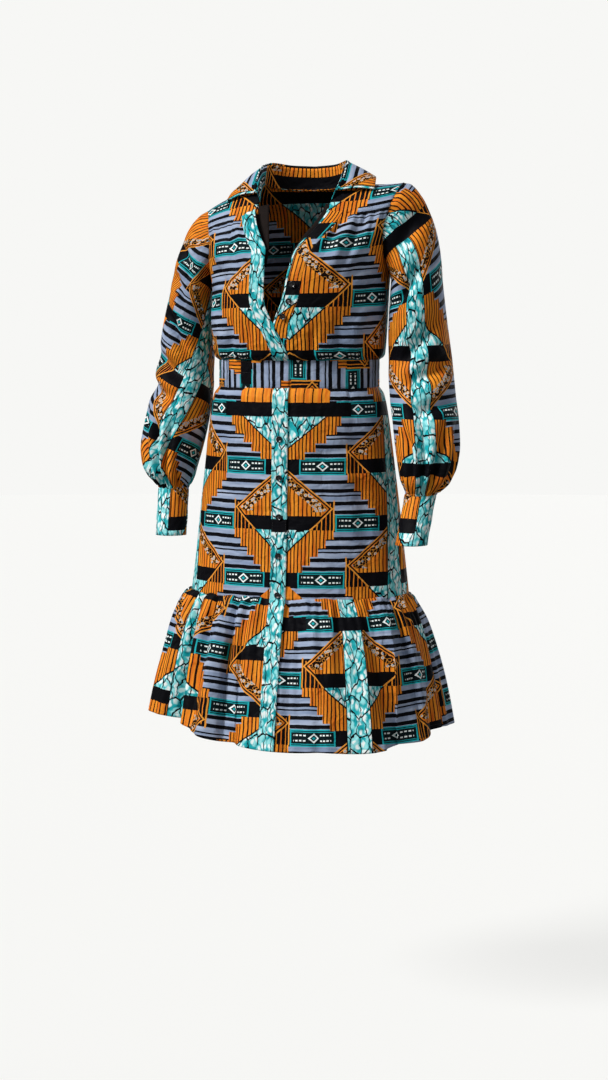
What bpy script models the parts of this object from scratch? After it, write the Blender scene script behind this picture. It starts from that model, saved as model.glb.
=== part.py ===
"""A knee-length shirt dress with long bishop sleeves, worn open at the neck.

Metres, +Z up. The front faces -Y and the wearer's left is +X. The origin lies on the wearer's
shoulder line, midway between the shoulders, where the dress hangs from them.

Every cloth piece is an open surface with a Solidify wall. The surfaces come from the short tables
below: one row for each section of the body or sleeve, one row for each large fold of the flounce.
The tables hold the dress on a level, upright figure, and posed() then gives it its stance.
"""

import math

import bpy
import numpy as np
from mathutils import Vector

# ---- driving dimensions --------------------------------------------------------------------

WALL = 0.0015
SEAM_GAP = 0.0003
LAYER = WALL + 0.0004

BAND_WIDTH = 0.029
BAND_HALF = BAND_WIDTH / 2
UNDERLAP_SHORT = 0.0008
WAIST_TOP = -0.3025
WAIST_BOTTOM = -0.3510
FLOUNCE_TOP = -0.7222
CUFF_TOP = -0.5360
CUFF_BOTTOM = -0.6220
YOKE_SEAM = 0.8875
ARMPIT = 0.55
SHOULDER_X = 0.182
NECK_X = 0.074

STANCE_SWAY = 0.012
STANCE_LIFT = 0.0225

BUTTON_RADIUS = 0.0056
BUTTON_THICK = 0.0026
BUTTON_CLEARANCE = 0.0006
SKIRT_BUTTON_HEIGHTS = (-0.4400, -0.5090, -0.5780, -0.6470, -0.7160)
BODICE_BUTTON_LEVELS = (0.505, 0.405, 0.305)

# ---- section tables ------------------------------------------------------------------------

# Bodice sections from the waist seam (0) to the shoulder seam (1). Each runs as a quarter ellipse
# from the centre line to the side seam, and above the armpit to the armhole.
SECTION_COLUMNS = ("level", "out_x", "out_y", "out_z", "mid_y", "mid_z")
FRONT_SECTIONS = (
    (0.00, 0.1470, 0.002, WAIST_TOP, -0.1065, WAIST_TOP),
    (0.05, 0.1560, 0.003, -0.2920, -0.1190, -0.2935),
    (0.20, 0.1610, 0.004, -0.2500, -0.1270, -0.2510),
    (0.38, 0.1630, 0.003, -0.2050, -0.1310, -0.2050),
    (0.55, 0.1645, 0.000, -0.1580, -0.1290, -0.1550),
    (0.66, 0.1610, -0.040, -0.1250, -0.1190, -0.1170),
    (0.78, 0.1610, -0.051, -0.0880, -0.1010, -0.0740),
    (0.90, 0.1690, -0.041, -0.0470, -0.0700, -0.0270),
    (0.95, 0.1755, -0.023, -0.0270, -0.0490, 0.0060),
    (0.98, 0.1800, -0.013, -0.0155, -0.0270, 0.0255),
    (1.00, SHOULDER_X, -0.002, -0.0120, -0.0120, 0.0300),
)
BACK_SECTIONS = (
    (0.00, 0.1470, 0.002, WAIST_TOP, 0.1045, WAIST_TOP),
    (0.05, 0.1560, 0.003, -0.2920, 0.1160, -0.2935),
    (0.20, 0.1610, 0.004, -0.2500, 0.1180, -0.2500),
    (0.38, 0.1630, 0.003, -0.2050, 0.1160, -0.2030),
    (0.55, 0.1645, 0.000, -0.1580, 0.1140, -0.1500),
    (0.66, 0.1630, 0.040, -0.1250, 0.1110, -0.1100),
    (0.78, 0.1640, 0.051, -0.0880, 0.1050, -0.0660),
    (0.90, 0.1710, 0.043, -0.0470, 0.0900, -0.0270),
    (0.95, 0.1765, 0.027, -0.0270, 0.0780, -0.0110),
    (0.98, 0.1805, 0.010, -0.0150, 0.0670, -0.0010),
    (1.00, SHOULDER_X, -0.002, -0.0120, 0.0600, 0.0030),
)

# How far the free front edges stand from the centre line, at each level of the bodice.
EDGE_COLUMNS = ("level", "right_edge", "left_edge", "right_facing", "left_facing")
FRONT_EDGES = (
    (0.00, 0.0145, -0.0145, 0.0145, -0.0145),
    (0.06, 0.0140, -0.0145, 0.0140, -0.0145),
    (0.20, -0.0020, -0.0120, -0.0020, -0.0120),
    (0.30, -0.0150, -0.0050, -0.0150, -0.0050),
    (0.42, -0.0270, 0.0065, -0.0270, 0.0065),
    (0.57, -0.0300, 0.0125, -0.0300, 0.0125),
    (0.68, -0.0320, 0.0190, -0.0300, 0.0160),
    (0.75, -0.0450, 0.0340, -0.0340, 0.0280),
    (0.82, -0.0580, 0.0510, -0.0400, 0.0430),
    (0.90, -0.0690, 0.0650, -0.0480, 0.0560),
    (1.00, -NECK_X, NECK_X, -0.0600, 0.0640),
)

# The facings: how far they run behind the panels, how far inside them, and the level they reach.
FACING_HOLD = 0.012
FACING_CLEARANCE = 0.0012
FACING_TOP = 0.915

SKIRT_COLUMNS = ("z", "half_width", "front_depth", "back_depth")
SKIRT_SECTIONS = (
    (WAIST_BOTTOM, 0.1475, 0.1070, 0.1050),
    (-0.3660, 0.1570, 0.1130, 0.1140),
    (-0.4000, 0.1640, 0.1150, 0.1220),
    (-0.4500, 0.1710, 0.1170, 0.1300),
    (-0.5000, 0.1770, 0.1180, 0.1360),
    (-0.5800, 0.1870, 0.1200, 0.1420),
    (-0.6600, 0.1960, 0.1250, 0.1470),
    (FLOUNCE_TOP, 0.2030, 0.1300, 0.1500),
)

FLOUNCE_COLUMNS = ("part_down", "half_width", "front_depth", "back_depth")
FLOUNCE_SECTIONS = (
    (0.00, 0.2030, 0.1300, 0.1500),
    (0.08, 0.2150, 0.1400, 0.1620),
    (0.22, 0.2300, 0.1520, 0.1730),
    (0.60, 0.2510, 0.1780, 0.1920),
    (1.00, 0.2670, 0.2000, 0.2090),
)

# The hem's height round the dress: it rides up a little on the right.
HEM_COLUMNS = ("bearing", "z")
HEM_SECTIONS = (
    (-180, -0.962),
    (-135, -0.950),
    (-90, -0.936),
    (-50, -0.946),
    (-17, -0.975),
    (5, -0.984),
    (35, -0.985),
    (60, -0.976),
    (90, -0.959),
    (135, -0.958),
    (180, -0.962),
)

# The flounce's large folds: a trough goes in and a ridge (minus depth) comes out.
FOLD_COLUMNS = ("bearing", "depth", "half_angle")
FLOUNCE_FOLDS = (
    (-15, 0.020, 5.0),
    (-29, -0.010, 8.0),
    (-46, 0.017, 6.0),
    (-63, -0.012, 8.0),
    (-80, 0.016, 6.0),
    (-98, -0.012, 8.0),
    (-116, 0.018, 7.0),
    (-137, -0.010, 9.0),
    (-158, 0.016, 7.0),
    (-178, -0.010, 9.0),
    (160, 0.018, 7.0),
    (139, -0.012, 9.0),
    (118, 0.015, 7.0),
    (98, -0.012, 8.0),
    (80, 0.016, 6.0),
    (69, -0.012, 6.0),
    (57, 0.020, 5.0),
    (40, -0.010, 9.0),
    (21, 0.009, 6.0),
)

# Level rings of a sleeve, from just below the armpit to the gathers above the cuff.
SLEEVE_COLUMNS = ("z", "inner_x", "outer_x", "half_depth")
SLEEVE_SECTIONS = (
    (-0.1700, 0.1700, 0.2520, 0.0600),
    (-0.2200, 0.1690, 0.2610, 0.0630),
    (-0.2700, 0.1680, 0.2690, 0.0650),
    (-0.3200, 0.1680, 0.2770, 0.0660),
    (-0.3700, 0.1720, 0.2860, 0.0680),
    (-0.4200, 0.1800, 0.2960, 0.0690),
    (-0.4600, 0.1880, 0.3000, 0.0680),
    (-0.4900, 0.1950, 0.2960, 0.0620),
    (-0.5130, 0.2010, 0.2850, 0.0500),
    (-0.5270, 0.2080, 0.2700, 0.0320),
    (-0.5325, 0.2100, 0.2650, 0.0265),
    (CUFF_TOP + SEAM_GAP, 0.2100, 0.2650, 0.0265),
)
# How far the cuff has swung forward, and how far the whole sleeve stands further out.
ARM_LEAN = {"right": -0.050, "left": -0.105}
ARM_SWING = {"right": -0.007, "left": 0.007}
LEAN_START = -0.30
ARM_Y = 0.004
CAP_FULLNESS = {"right": 1.0, "left": 0.75}

CUFF_X = 0.2375
CUFF_RADIUS = 0.0285
CUFF_SLANT = {"right": 0.0, "left": -0.008}
CUFF_BUTTON_PARTS = (0.30, 0.70)

# The collar from the nape (0) to its front end (1): the top of the stand and the leaf's free edge.
COLLAR_COLUMNS = ("along", "top_x", "top_y", "top_z", "free_x", "free_y", "free_z")
COLLAR_SECTIONS = (
    (0.00, 0.0000, 0.0570, 0.0440, 0.0000, 0.0860, -0.0040),
    (0.25, 0.0380, 0.0490, 0.0460, 0.0480, 0.0830, 0.0000),
    (0.50, 0.0670, 0.0230, 0.0510, 0.0980, 0.0560, 0.0120),
    (0.70, 0.0780, -0.0080, 0.0440, 0.1250, 0.0180, 0.0150),
    (0.85, 0.0790, -0.0330, 0.0210, 0.1340, -0.0100, 0.0080),
    (1.00, 0.0750, -0.0560, -0.0020, 0.1390, -0.0370, -0.0100),
)
LEAF_ROLL = 0.0030
LEAF_BULGE = 0.004
# The collar's front end stands at this level of the front, and its shoulder seam this far along.
COLLAR_FRONT_END = 0.925
COLLAR_AT_SHOULDER = 0.62


# ---- small tools ---------------------------------------------------------------------------

def monotone_slopes(xs, ys):
    """Slopes for a smooth curve through the points that never overshoots between them."""
    part = np.diff(ys) / np.diff(xs)
    slope = np.concatenate([part[:1], np.zeros(len(part) - 1), part[-1:]])
    before, after = part[:-1], part[1:]
    same_way = before * after > 0
    slope[1:-1][same_way] = (2 * before * after)[same_way] / (before + after)[same_way]
    return slope


def reading(table, columns, key, name):
    """A function that reads one column of a table smoothly, by the column named key."""
    xs = np.array([row[columns.index(key)] for row in table], float)
    ys = np.array([row[columns.index(name)] for row in table], float)
    if xs[0] > xs[-1]:
        xs, ys = xs[::-1], ys[::-1]
    slope = monotone_slopes(xs, ys)

    def read(x):
        x = np.clip(np.asarray(x, float), xs[0], xs[-1])
        i = np.clip(np.searchsorted(xs, x, side="right") - 1, 0, len(xs) - 2)
        step = xs[i + 1] - xs[i]
        t = (x - xs[i]) / step
        rise = ys[i + 1] - ys[i]
        start = t * (1 - t) ** 2 * slope[i] * step
        end = t * t * (t - 1) * slope[i + 1] * step
        return ys[i] + (3 - 2 * t) * t * t * rise + start + end

    return read


def reader(table, columns):
    """All columns of a table as smooth functions of the first one."""
    return {name: reading(table, columns, columns[0], name) for name in columns[1:]}


def smoothstep(low, high, x):
    t = np.clip((np.asarray(x, float) - low) / (high - low), 0, 1)
    return t * t * (3 - 2 * t)


# Levels above the armpit are spaced as the sleeve's columns are, so that the armhole seams match.
SLEEVE_COLUMNS_ROUND = 16
WAISTBAND_COLUMNS = 40
# The levels where the back and the front yokes stop at the shoulder seam, a little apart.
SHOULDER_TOP_BACK, SHOULDER_TOP_FRONT = 0.9945, 0.998
ARMHOLE_LEVELS = np.linspace(ARMPIT, 1.0, SLEEVE_COLUMNS_ROUND // 2 + 1)
LOW_LEVELS = np.array([0.0015, 0.05, 0.14, 0.27, 0.41])
BODY_LEVELS = np.concatenate([LOW_LEVELS, ARMHOLE_LEVELS[:-3], [YOKE_SEAM - 0.003]])

SKIRT_HEIGHTS = (-0.66, -0.60, -0.54, -0.48, -0.42, -0.38, -0.3655, WAIST_BOTTOM)
FLOUNCE_PARTS = (1.0, 0.80, 0.60, 0.40, 0.22, 0.08, 0.0)

FRONT = reader(FRONT_SECTIONS, SECTION_COLUMNS)
BACK = reader(BACK_SECTIONS, SECTION_COLUMNS)
EDGES = reader(FRONT_EDGES, EDGE_COLUMNS)
SKIRT = reader(SKIRT_SECTIONS, SKIRT_COLUMNS)
FLOUNCE = reader(FLOUNCE_SECTIONS, FLOUNCE_COLUMNS)
HEM = reader(HEM_SECTIONS, HEM_COLUMNS)
SLEEVE = reader(SLEEVE_SECTIONS, SLEEVE_COLUMNS)
COLLAR = reader(COLLAR_SECTIONS, COLLAR_COLUMNS)


def posed(points):
    """The stance: the left shoulder lifted and the right one dropped, the neck a little to the left."""
    x, y, z = np.moveaxis(np.asarray(points, float), -1, 0)
    tilt = STANCE_LIFT * np.clip(x / SHOULDER_X, -1, 1) ** 3 * smoothstep(-0.36, 0.0, z)
    return np.stack([x + STANCE_SWAY * smoothstep(-0.25, -0.01, z), y, z + tilt], axis=-1)


def normals_of(grid):
    along = np.gradient(grid, axis=1)
    up = np.gradient(grid, axis=0)
    normal = np.cross(along, up)
    return normal / np.linalg.norm(normal, axis=-1, keepdims=True)


def moved_out(grid, distance):
    """The same grid of points, moved along its outward normals."""
    return grid + normals_of(grid) * np.asarray(distance)[..., None]


def material(name, colour, roughness):
    made = bpy.data.materials.new(name)
    made.use_nodes = True
    shader = made.node_tree.nodes["Principled BSDF"]
    shader.inputs["Base Color"].default_value = (*colour, 1)
    shader.inputs["Roughness"].default_value = roughness
    return made


def mesh_object(name, points, faces, finish):
    mesh = bpy.data.meshes.new(name)
    mesh.from_pydata([tuple(point) for point in points], [], faces)
    mesh.materials.append(finish)
    mesh.shade_smooth()
    mesh.update()
    made = bpy.data.objects.new(name, mesh)
    PIECES.objects.link(made)
    return made


def shell(name, grid, finish, closed=False):
    """A cloth wall on a grid of points, rows going up and columns going round anticlockwise.

    The grid is the outer face and the wall goes inward from it.
    """
    rows, columns = grid.shape[:2]
    faces = []
    for row in range(rows - 1):
        for column in range(columns if closed else columns - 1):
            beside = (column + 1) % columns
            low, high = row * columns, (row + 1) * columns
            faces.append((low + column, low + beside, high + beside, high + column))
    made = mesh_object(name, posed(grid).reshape(-1, 3), faces, finish)
    wall = made.modifiers.new("wall", "SOLIDIFY")
    wall.thickness = WALL
    wall.offset = -1
    return made


# ---- the bodice ----------------------------------------------------------------------------

def section_point(read, level, across):
    """A point of a bodice section, across metres from the centre line."""
    level, across = np.broadcast_arrays(np.asarray(level, float), np.asarray(across, float))
    out_x = read["out_x"](level)
    sine = np.clip(across / out_x, -1, 1)
    cosine = np.sqrt(1 - sine * sine)
    y = read["out_y"](level) + (read["mid_y"](level) - read["out_y"](level)) * cosine
    z = read["mid_z"](level) + (read["out_z"](level) - read["mid_z"](level)) * np.abs(sine)
    flat = smoothstep(0.80, 0.55, level)
    z_low = read["mid_z"](level) + (read["out_z"](level) - read["mid_z"](level)) * sine * sine
    return np.stack([across, y, z_low * flat + z * (1 - flat)], axis=-1)


def front_grid(side, levels, count, inner, sink=None):
    """Part of one front, from its inner edge to the side seam or armhole."""
    sign = 1 if side == "left" else -1
    rows = []
    for level in levels:
        out_x = float(FRONT["out_x"](level))
        start = math.asin(np.clip(sign * inner(level) / out_x, -1, 1))
        angle = np.linspace(start, math.pi / 2, count)
        rows.append(section_point(FRONT, level, out_x * np.sin(angle)))
    grid = np.array(rows)
    if sink is not None:
        grid = moved_out(grid, -sink(grid[..., 0]))
    if sign < 0:
        grid = grid * np.array([-1, 1, 1])
        grid = grid[:, ::-1]
    return grid


def underlap(across):
    """How far the left front's edge sinks below the right front's."""
    return LAYER * (1 - smoothstep(BAND_HALF + 0.003, BAND_HALF + 0.018, across))


def side_gap(grid, at_start, at_end):
    """Draws a grid's end columns in by half a seam gap."""
    grid = grid.copy()
    if at_start:
        step = grid[:, 1] - grid[:, 0]
        grid[:, 0] += step / np.linalg.norm(step, axis=-1, keepdims=True) * SEAM_GAP
    if at_end:
        step = grid[:, -2] - grid[:, -1]
        grid[:, -1] += step / np.linalg.norm(step, axis=-1, keepdims=True) * SEAM_GAP
    return grid


def make_bodice_fronts(finish):
    seams = {
        "right": lambda level: float(EDGES["right_edge"](level)) - BAND_WIDTH - 2 * SEAM_GAP,
        "left": lambda level: float(EDGES["left_edge"](level)) + BAND_WIDTH + 2 * SEAM_GAP,
    }
    for side, inner in seams.items():
        sink = underlap if side == "left" else None
        grid = front_grid(side, BODY_LEVELS, 9, inner, sink)
        grid = side_gap(grid, side == "right", side == "left")
        shell(f"bodice_front_{side}", grid, finish)


def make_yokes(finish):
    levels = np.array([YOKE_SEAM + 0.001, ARMHOLE_LEVELS[-2], 0.975, SHOULDER_TOP_FRONT])
    for side in ("right", "left"):
        sign = 1 if side == "left" else -1

        def inner(level, sign=sign, side=side):
            return float(EDGES[f"{side}_edge"](level)) + sign * SEAM_GAP

        grid = front_grid(side, levels, 7, inner)
        grid = side_gap(grid, side == "right", side == "left")
        shell(f"yoke_{side}", grid, finish)


def neck_back(across):
    """The back neckline, between the two shoulder seams."""
    part = np.sqrt(np.clip(1 - (across / NECK_X) ** 2, 0, 1))
    seam = section_point(FRONT, 1.0, NECK_X)
    nape = (BACK["mid_y"](1.0), BACK["mid_z"](1.0))
    y = seam[1] + (nape[0] - seam[1]) * part
    z = seam[2] + (nape[1] - seam[2]) * part
    return np.stack([across, y, z], axis=-1)


def back_top(across):
    """The back's top edge: the shoulder seams, with the neckline between them."""
    seam = section_point(FRONT, 1.0, across)
    neck = neck_back(across)
    return np.where(np.abs(across)[..., None] < NECK_X, neck, seam)


def back_grid(levels, count):
    angles = np.linspace(-math.pi / 2, math.pi / 2, count)
    rows = []
    for level in levels:
        out_x = float(BACK["out_x"](level))
        row = section_point(BACK, level, out_x * np.sin(angles))
        top = back_top(SHOULDER_X * np.sin(angles))
        share = smoothstep(0.90, 1.0, level)
        rows.append(row * (1 - share) + top * share)
    return np.array(rows)[:, ::-1]


def make_bodice_back(finish):
    levels = np.concatenate([LOW_LEVELS, ARMHOLE_LEVELS[:-1], [0.975, SHOULDER_TOP_BACK]])
    grid = side_gap(back_grid(levels, 17), True, True)
    shell("bodice_back", grid, finish)


def edge_strip(side, levels, near, far, count, out):
    """A strip along a front edge: near and far give its two sides across the front."""
    rows = []
    for level in levels:
        across = np.linspace(near(level), far(level), count)
        rows.append(section_point(FRONT, level, across))
    grid = np.array(rows)
    if side == "left":
        grid = moved_out(grid, -underlap(grid[..., 0]))
    return moved_out(grid, np.full(grid.shape[:2], out))


def make_front_bands(finish):
    """The right placket lies over the left button band where the two fronts meet."""
    levels = np.concatenate([BODY_LEVELS[:-1], [YOKE_SEAM - 0.001]])
    right = edge_strip("right", levels,
                       lambda level: float(EDGES["right_edge"](level)) - BAND_WIDTH,
                       lambda level: float(EDGES["right_edge"](level)), 3, 0.0)
    shell("placket_bodice", right, finish)
    left = edge_strip("left", levels,
                      lambda level: float(EDGES["left_edge"](level)),
                      lambda level: float(EDGES["left_edge"](level)) + BAND_WIDTH, 3, 0.0)
    shell("button_band_left", left, finish)


def make_facings(finish):
    """Dark strips inside the neck, which show past the open edges."""
    levels = np.concatenate([ARMHOLE_LEVELS[2:-2], [FACING_TOP]])
    under = -LAYER - FACING_CLEARANCE
    right = edge_strip("right", levels,
                       lambda level: float(EDGES["right_edge"](level)) - FACING_HOLD,
                       lambda level: float(EDGES["right_facing"](level)) + 0.001, 4, under)
    shell("facing_right", right, finish)
    left = edge_strip("left", levels,
                      lambda level: float(EDGES["left_facing"](level)) - 0.001,
                      lambda level: float(EDGES["left_edge"](level)) + FACING_HOLD, 4, under)
    shell("facing_left", left, finish)


# ---- the collar ----------------------------------------------------------------------------

def neck_seam(along):
    """The neckline from the nape (0) round to the collar's front end (1), on the left side."""
    behind = np.clip(along / COLLAR_AT_SHOULDER, 0, 1)
    ahead = np.clip((along - COLLAR_AT_SHOULDER) / (1 - COLLAR_AT_SHOULDER), 0, 1)
    back = neck_back(NECK_X * np.sin(behind * math.pi / 2))
    level = 1.0 - (1.0 - COLLAR_FRONT_END) * ahead
    front = section_point(FRONT, level, EDGES["left_edge"](level))
    return np.where((along < COLLAR_AT_SHOULDER)[..., None], back, front)


def mirrored(points, places):
    """Left-side points sent to the side that each place's sign says."""
    sign = np.where(places < 0, -1.0, 1.0)
    return points * np.stack([sign, np.ones_like(sign), np.ones_like(sign)], axis=-1)


def collar_line(which, places):
    along = np.abs(places)
    columns = [COLLAR[f"{which}_{axis}"](along) for axis in "xyz"]
    return mirrored(np.stack(columns, axis=-1), places)


def make_collar(finish):
    """A stand on the neck seam, and a leaf that rolls over its top and falls to a free edge."""
    # Columns go round anticlockwise, seen from above: from the right front, by way of the nape.
    places = np.linspace(1, -1, 21)
    seam = mirrored(neck_seam(np.abs(places)), places)
    top = collar_line("top", places)
    free = collar_line("free", places)
    rise = top - seam
    rise /= np.linalg.norm(rise, axis=-1, keepdims=True)
    foot = seam + rise * (WALL + SEAM_GAP)
    head = top - rise * (LEAF_ROLL + SEAM_GAP)
    rows = [foot + (head - foot) * part for part in (0, 0.5, 1)]
    shell("collar_stand", np.array(rows), finish)

    outward = free - top
    outward[..., 2] = 0
    outward /= np.linalg.norm(outward, axis=-1, keepdims=True)
    up = np.array([0, 0, 1.0])
    start = top - rise * LEAF_ROLL
    crest = top + (outward * 0.9 + up * 0.4) * LEAF_ROLL
    past = top + (outward * 2.0 - up * 0.6) * LEAF_ROLL
    rows = [free + (past - free) * part + up * LEAF_BULGE * math.sin(part * math.pi)
            for part in (0, 0.33, 0.66, 1)]
    shell("collar_leaf", np.array(rows + [crest, start]), finish)


# ---- the waistband, skirt and flounce ------------------------------------------------------

def body_ring(half_width, front_depth, back_depth, bearing):
    """A section of the skirt: bearing 0 is the centre front and 90 degrees the left side."""
    x = half_width * np.sin(bearing)
    depth = np.where(np.cos(bearing) > 0, front_depth, back_depth)
    return x, -depth * np.cos(bearing)


def skirt_points(z, bearing):
    z, bearing = np.broadcast_arrays(np.asarray(z, float), np.asarray(bearing, float))
    read = [SKIRT[name](z) for name in SKIRT_COLUMNS[1:]]
    x, y = body_ring(*read, bearing)
    return np.stack([x, y, z], axis=-1)


def folds(bearing):
    """The flounce's folds at the hem: the sum of its troughs and ridges."""
    total = np.zeros_like(bearing)
    for centre, depth, width in FLOUNCE_FOLDS:
        away = (np.degrees(bearing) - centre + 180) % 360 - 180
        total -= depth * np.exp(-((away / width) ** 2))
    return total


def hem_height(bearing):
    return HEM["z"]((np.degrees(bearing) + 180) % 360 - 180)


def flounce_points(down, bearing):
    down, bearing = np.broadcast_arrays(np.asarray(down, float), np.asarray(bearing, float))
    read = [FLOUNCE[name](down) for name in FLOUNCE_COLUMNS[1:]]
    x, y = body_ring(*read, bearing)
    reach = np.hypot(x, y)
    out = folds(bearing) * smoothstep(0.0, 1.0, down) ** 0.8
    scale = (reach + out) / reach
    z = FLOUNCE_TOP - SEAM_GAP + (hem_height(bearing) - FLOUNCE_TOP) * down
    return np.stack([x * scale, y * scale, z], axis=-1)


def bearing_of(across, half_width):
    return math.asin(across / half_width)


def make_waistband(finish):
    """One strip that goes round once and laps over itself at the centre front."""
    waist = SKIRT_SECTIONS[0][1:]
    lap = bearing_of(BAND_HALF, waist[0])
    whole = 2 * math.pi
    bearings = np.concatenate([[-lap, 0, lap, 2.2 * lap],
                               np.linspace(3.4 * lap, whole - 2 * lap, WAISTBAND_COLUMNS),
                               [whole - lap, whole, whole + lap]])
    x, y = body_ring(*waist, bearings)
    heights = (WAIST_BOTTOM + SEAM_GAP, WAIST_TOP - SEAM_GAP)
    grid = np.array([np.stack([x, y, np.full_like(x, z)], axis=-1) for z in heights])
    sink = LAYER * (1 - smoothstep(1.15 * lap, 3.2 * lap, bearings))
    grid = moved_out(grid, -np.broadcast_to(sink, grid.shape[:2]))
    shell("waistband", grid, finish)


def front_bearings(width_at, count):
    """Bearings of a left panel's columns: the underlap, then evenly to the side seam."""
    lap = bearing_of(BAND_HALF, width_at)
    edge = bearing_of(BAND_HALF - UNDERLAP_SHORT, width_at)
    near = [-edge, 0, lap, 1.8 * lap]
    return np.concatenate([near, np.linspace(2.8 * lap, math.pi / 2, count)])


def make_skirt(finish):
    heights = np.concatenate([[FLOUNCE_TOP + SEAM_GAP / 3], SKIRT_HEIGHTS])
    left = []
    right = []
    for z in heights:
        width = float(SKIRT["half_width"](z))
        start = bearing_of(BAND_HALF + SEAM_GAP, width)
        left.append(skirt_points(z, front_bearings(width, 9)))
        right.append(skirt_points(z, -np.linspace(math.pi / 2, start, 11)))
    left = np.array(left)
    left = moved_out(left, -underlap(left[..., 0]))
    shell("skirt_front_left", side_gap(left, False, True), finish)
    shell("skirt_front_right", side_gap(np.array(right), True, False), finish)
    behind = np.linspace(math.pi / 2, 3 * math.pi / 2, 17)
    back = skirt_points(heights[:, None], behind[None])
    shell("skirt_back", side_gap(back, True, True), finish)


def make_flounce(finish):
    left = []
    right = []
    back = []
    for part in FLOUNCE_PARTS:
        width = float(FLOUNCE["half_width"](part))
        start = bearing_of(BAND_HALF + SEAM_GAP, width)
        left.append(flounce_points(part, front_bearings(width, 15)))
        right.append(flounce_points(part, -np.linspace(math.pi / 2, start, 17)))
        back.append(flounce_points(part, np.linspace(math.pi / 2, 3 * math.pi / 2, 31)))
    left = np.array(left)
    left = moved_out(left, -underlap(left[..., 0]))
    shell("flounce_front_left", side_gap(left, False, True), finish)
    shell("flounce_front_right", side_gap(np.array(right), True, False), finish)
    shell("flounce_back", side_gap(np.array(back), True, True), finish)


def make_skirt_placket(finish):
    """The long placket, from the waistband over the flounce seam to the hem."""
    rows = []
    for part in (*FLOUNCE_PARTS[:-1], 0.01):
        lap = bearing_of(BAND_HALF, float(FLOUNCE["half_width"](part)))
        rows.append(flounce_points(part, np.array([-lap, 0, lap])))
    for z in (FLOUNCE_TOP + 0.0027, *SKIRT_HEIGHTS):
        lap = bearing_of(BAND_HALF, float(SKIRT["half_width"](z)))
        rows.append(skirt_points(z, np.array([-lap, 0, lap])))
    shell("placket_skirt", np.array(rows), finish)


# ---- the sleeves ---------------------------------------------------------------------------

def armhole(turn):
    """The armhole on the left side: turn 0 at the shoulder, pi/2 in front, pi under the arm."""
    turn = np.asarray(turn, float)
    front = turn <= math.pi
    part = np.where(front, turn, 2 * math.pi - turn) / math.pi
    level = 1.0 - (1.0 - ARMPIT) * part
    ahead = np.stack([FRONT[f"out_{axis}"](level) for axis in "xyz"], axis=-1)
    behind = np.stack([BACK[f"out_{axis}"](level) for axis in "xyz"], axis=-1)
    return np.where(front[..., None], ahead, behind)


def lean(z, side):
    """How far the arm has swung forward at this height."""
    return ARM_LEAN[side] * np.clip((LEAN_START - z) / (LEAN_START - CUFF_BOTTOM), 0, 1) ** 1.15


def sleeve_ring(z, turn, side):
    inner = SLEEVE["inner_x"](z) + ARM_SWING[side] * smoothstep(-0.25, -0.45, z)
    outer = SLEEVE["outer_x"](z) + ARM_SWING[side]
    x = (inner + outer) / 2 + (outer - inner) / 2 * np.cos(turn)
    y = lean(z, side) + ARM_Y - SLEEVE["half_depth"](z) * np.sin(turn)
    return np.stack([x, y, np.full_like(x, z)], axis=-1)


def cap_row(part, turn, side):
    """A row of the sleeve's cap, from the armhole (0) to the first level ring (1)."""
    seam = armhole(turn)
    first = sleeve_ring(SLEEVE_SECTIONS[0][0], turn, side)
    # Over the shoulder the cap goes out first and then down.
    top = (1 + np.cos(turn)) / 2 * CAP_FULLNESS[side]
    bend = math.sin(part * math.pi / 2)
    fall = 1 - math.cos(part * math.pi / 2)
    across = part + (bend - part) * top
    drop = part + (fall - part) * top
    share = np.stack([across, across, drop], axis=-1)
    return seam + (first - seam) * share


def on_side(grid, side):
    """A left-side ring grid on its own side, its columns going round anticlockwise."""
    return grid[:, ::-1] if side == "left" else grid * np.array([-1, 1, 1])


def make_sleeves(finish):
    turn = np.linspace(0, 2 * math.pi, SLEEVE_COLUMNS_ROUND, endpoint=False)
    heights = [row[0] for row in SLEEVE_SECTIONS[1:]]
    for side in ("right", "left"):
        rows = [cap_row(part, turn, side) for part in (0.0, 0.2, 0.42, 0.68, 1.0)]
        rows += [sleeve_ring(z, turn, side) for z in heights]
        grid = np.array(rows)[::-1]
        grid[-1, :, 0] += SEAM_GAP * 3
        shell(f"sleeve_{side}", on_side(grid, side), finish, closed=True)


def cuff_points(part, turn, side):
    """A deep fitted cuff, from its wrist edge (0) up to the sleeve seam (1)."""
    z = CUFF_BOTTOM + (CUFF_TOP - SEAM_GAP - CUFF_BOTTOM) * part
    middle = CUFF_X + ARM_SWING[side] + CUFF_SLANT[side] * (1 - part)
    radius = CUFF_RADIUS - 0.001 * part
    x = middle + radius * np.cos(turn)
    y = lean(z, side) + ARM_Y - (radius - 0.001) * np.sin(turn)
    return np.stack([x, y, np.full_like(x, z)], axis=-1)


def make_cuffs(finish):
    turn = np.linspace(0, 2 * math.pi, SLEEVE_COLUMNS_ROUND, endpoint=False)
    for side in ("right", "left"):
        grid = np.array([cuff_points(part, turn, side) for part in (0, 0.5, 1)])
        shell(f"cuff_{side}", on_side(grid, side), finish, closed=True)


# ---- buttons -------------------------------------------------------------------------------

def button_mesh():
    """A turned button with a raised rim, its back on the XY plane."""
    profile = ((0.0, BUTTON_THICK * 0.72), (BUTTON_RADIUS * 0.62, BUTTON_THICK * 0.72),
               (BUTTON_RADIUS * 0.80, BUTTON_THICK), (BUTTON_RADIUS, BUTTON_THICK * 0.62),
               (BUTTON_RADIUS * 0.86, 0.0), (0.0, 0.0))
    made = bpy.data.meshes.new("button")
    made.from_pydata([(x, 0, z) for x, z in profile], [(i, i + 1) for i in range(5)], [])
    return made


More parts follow.
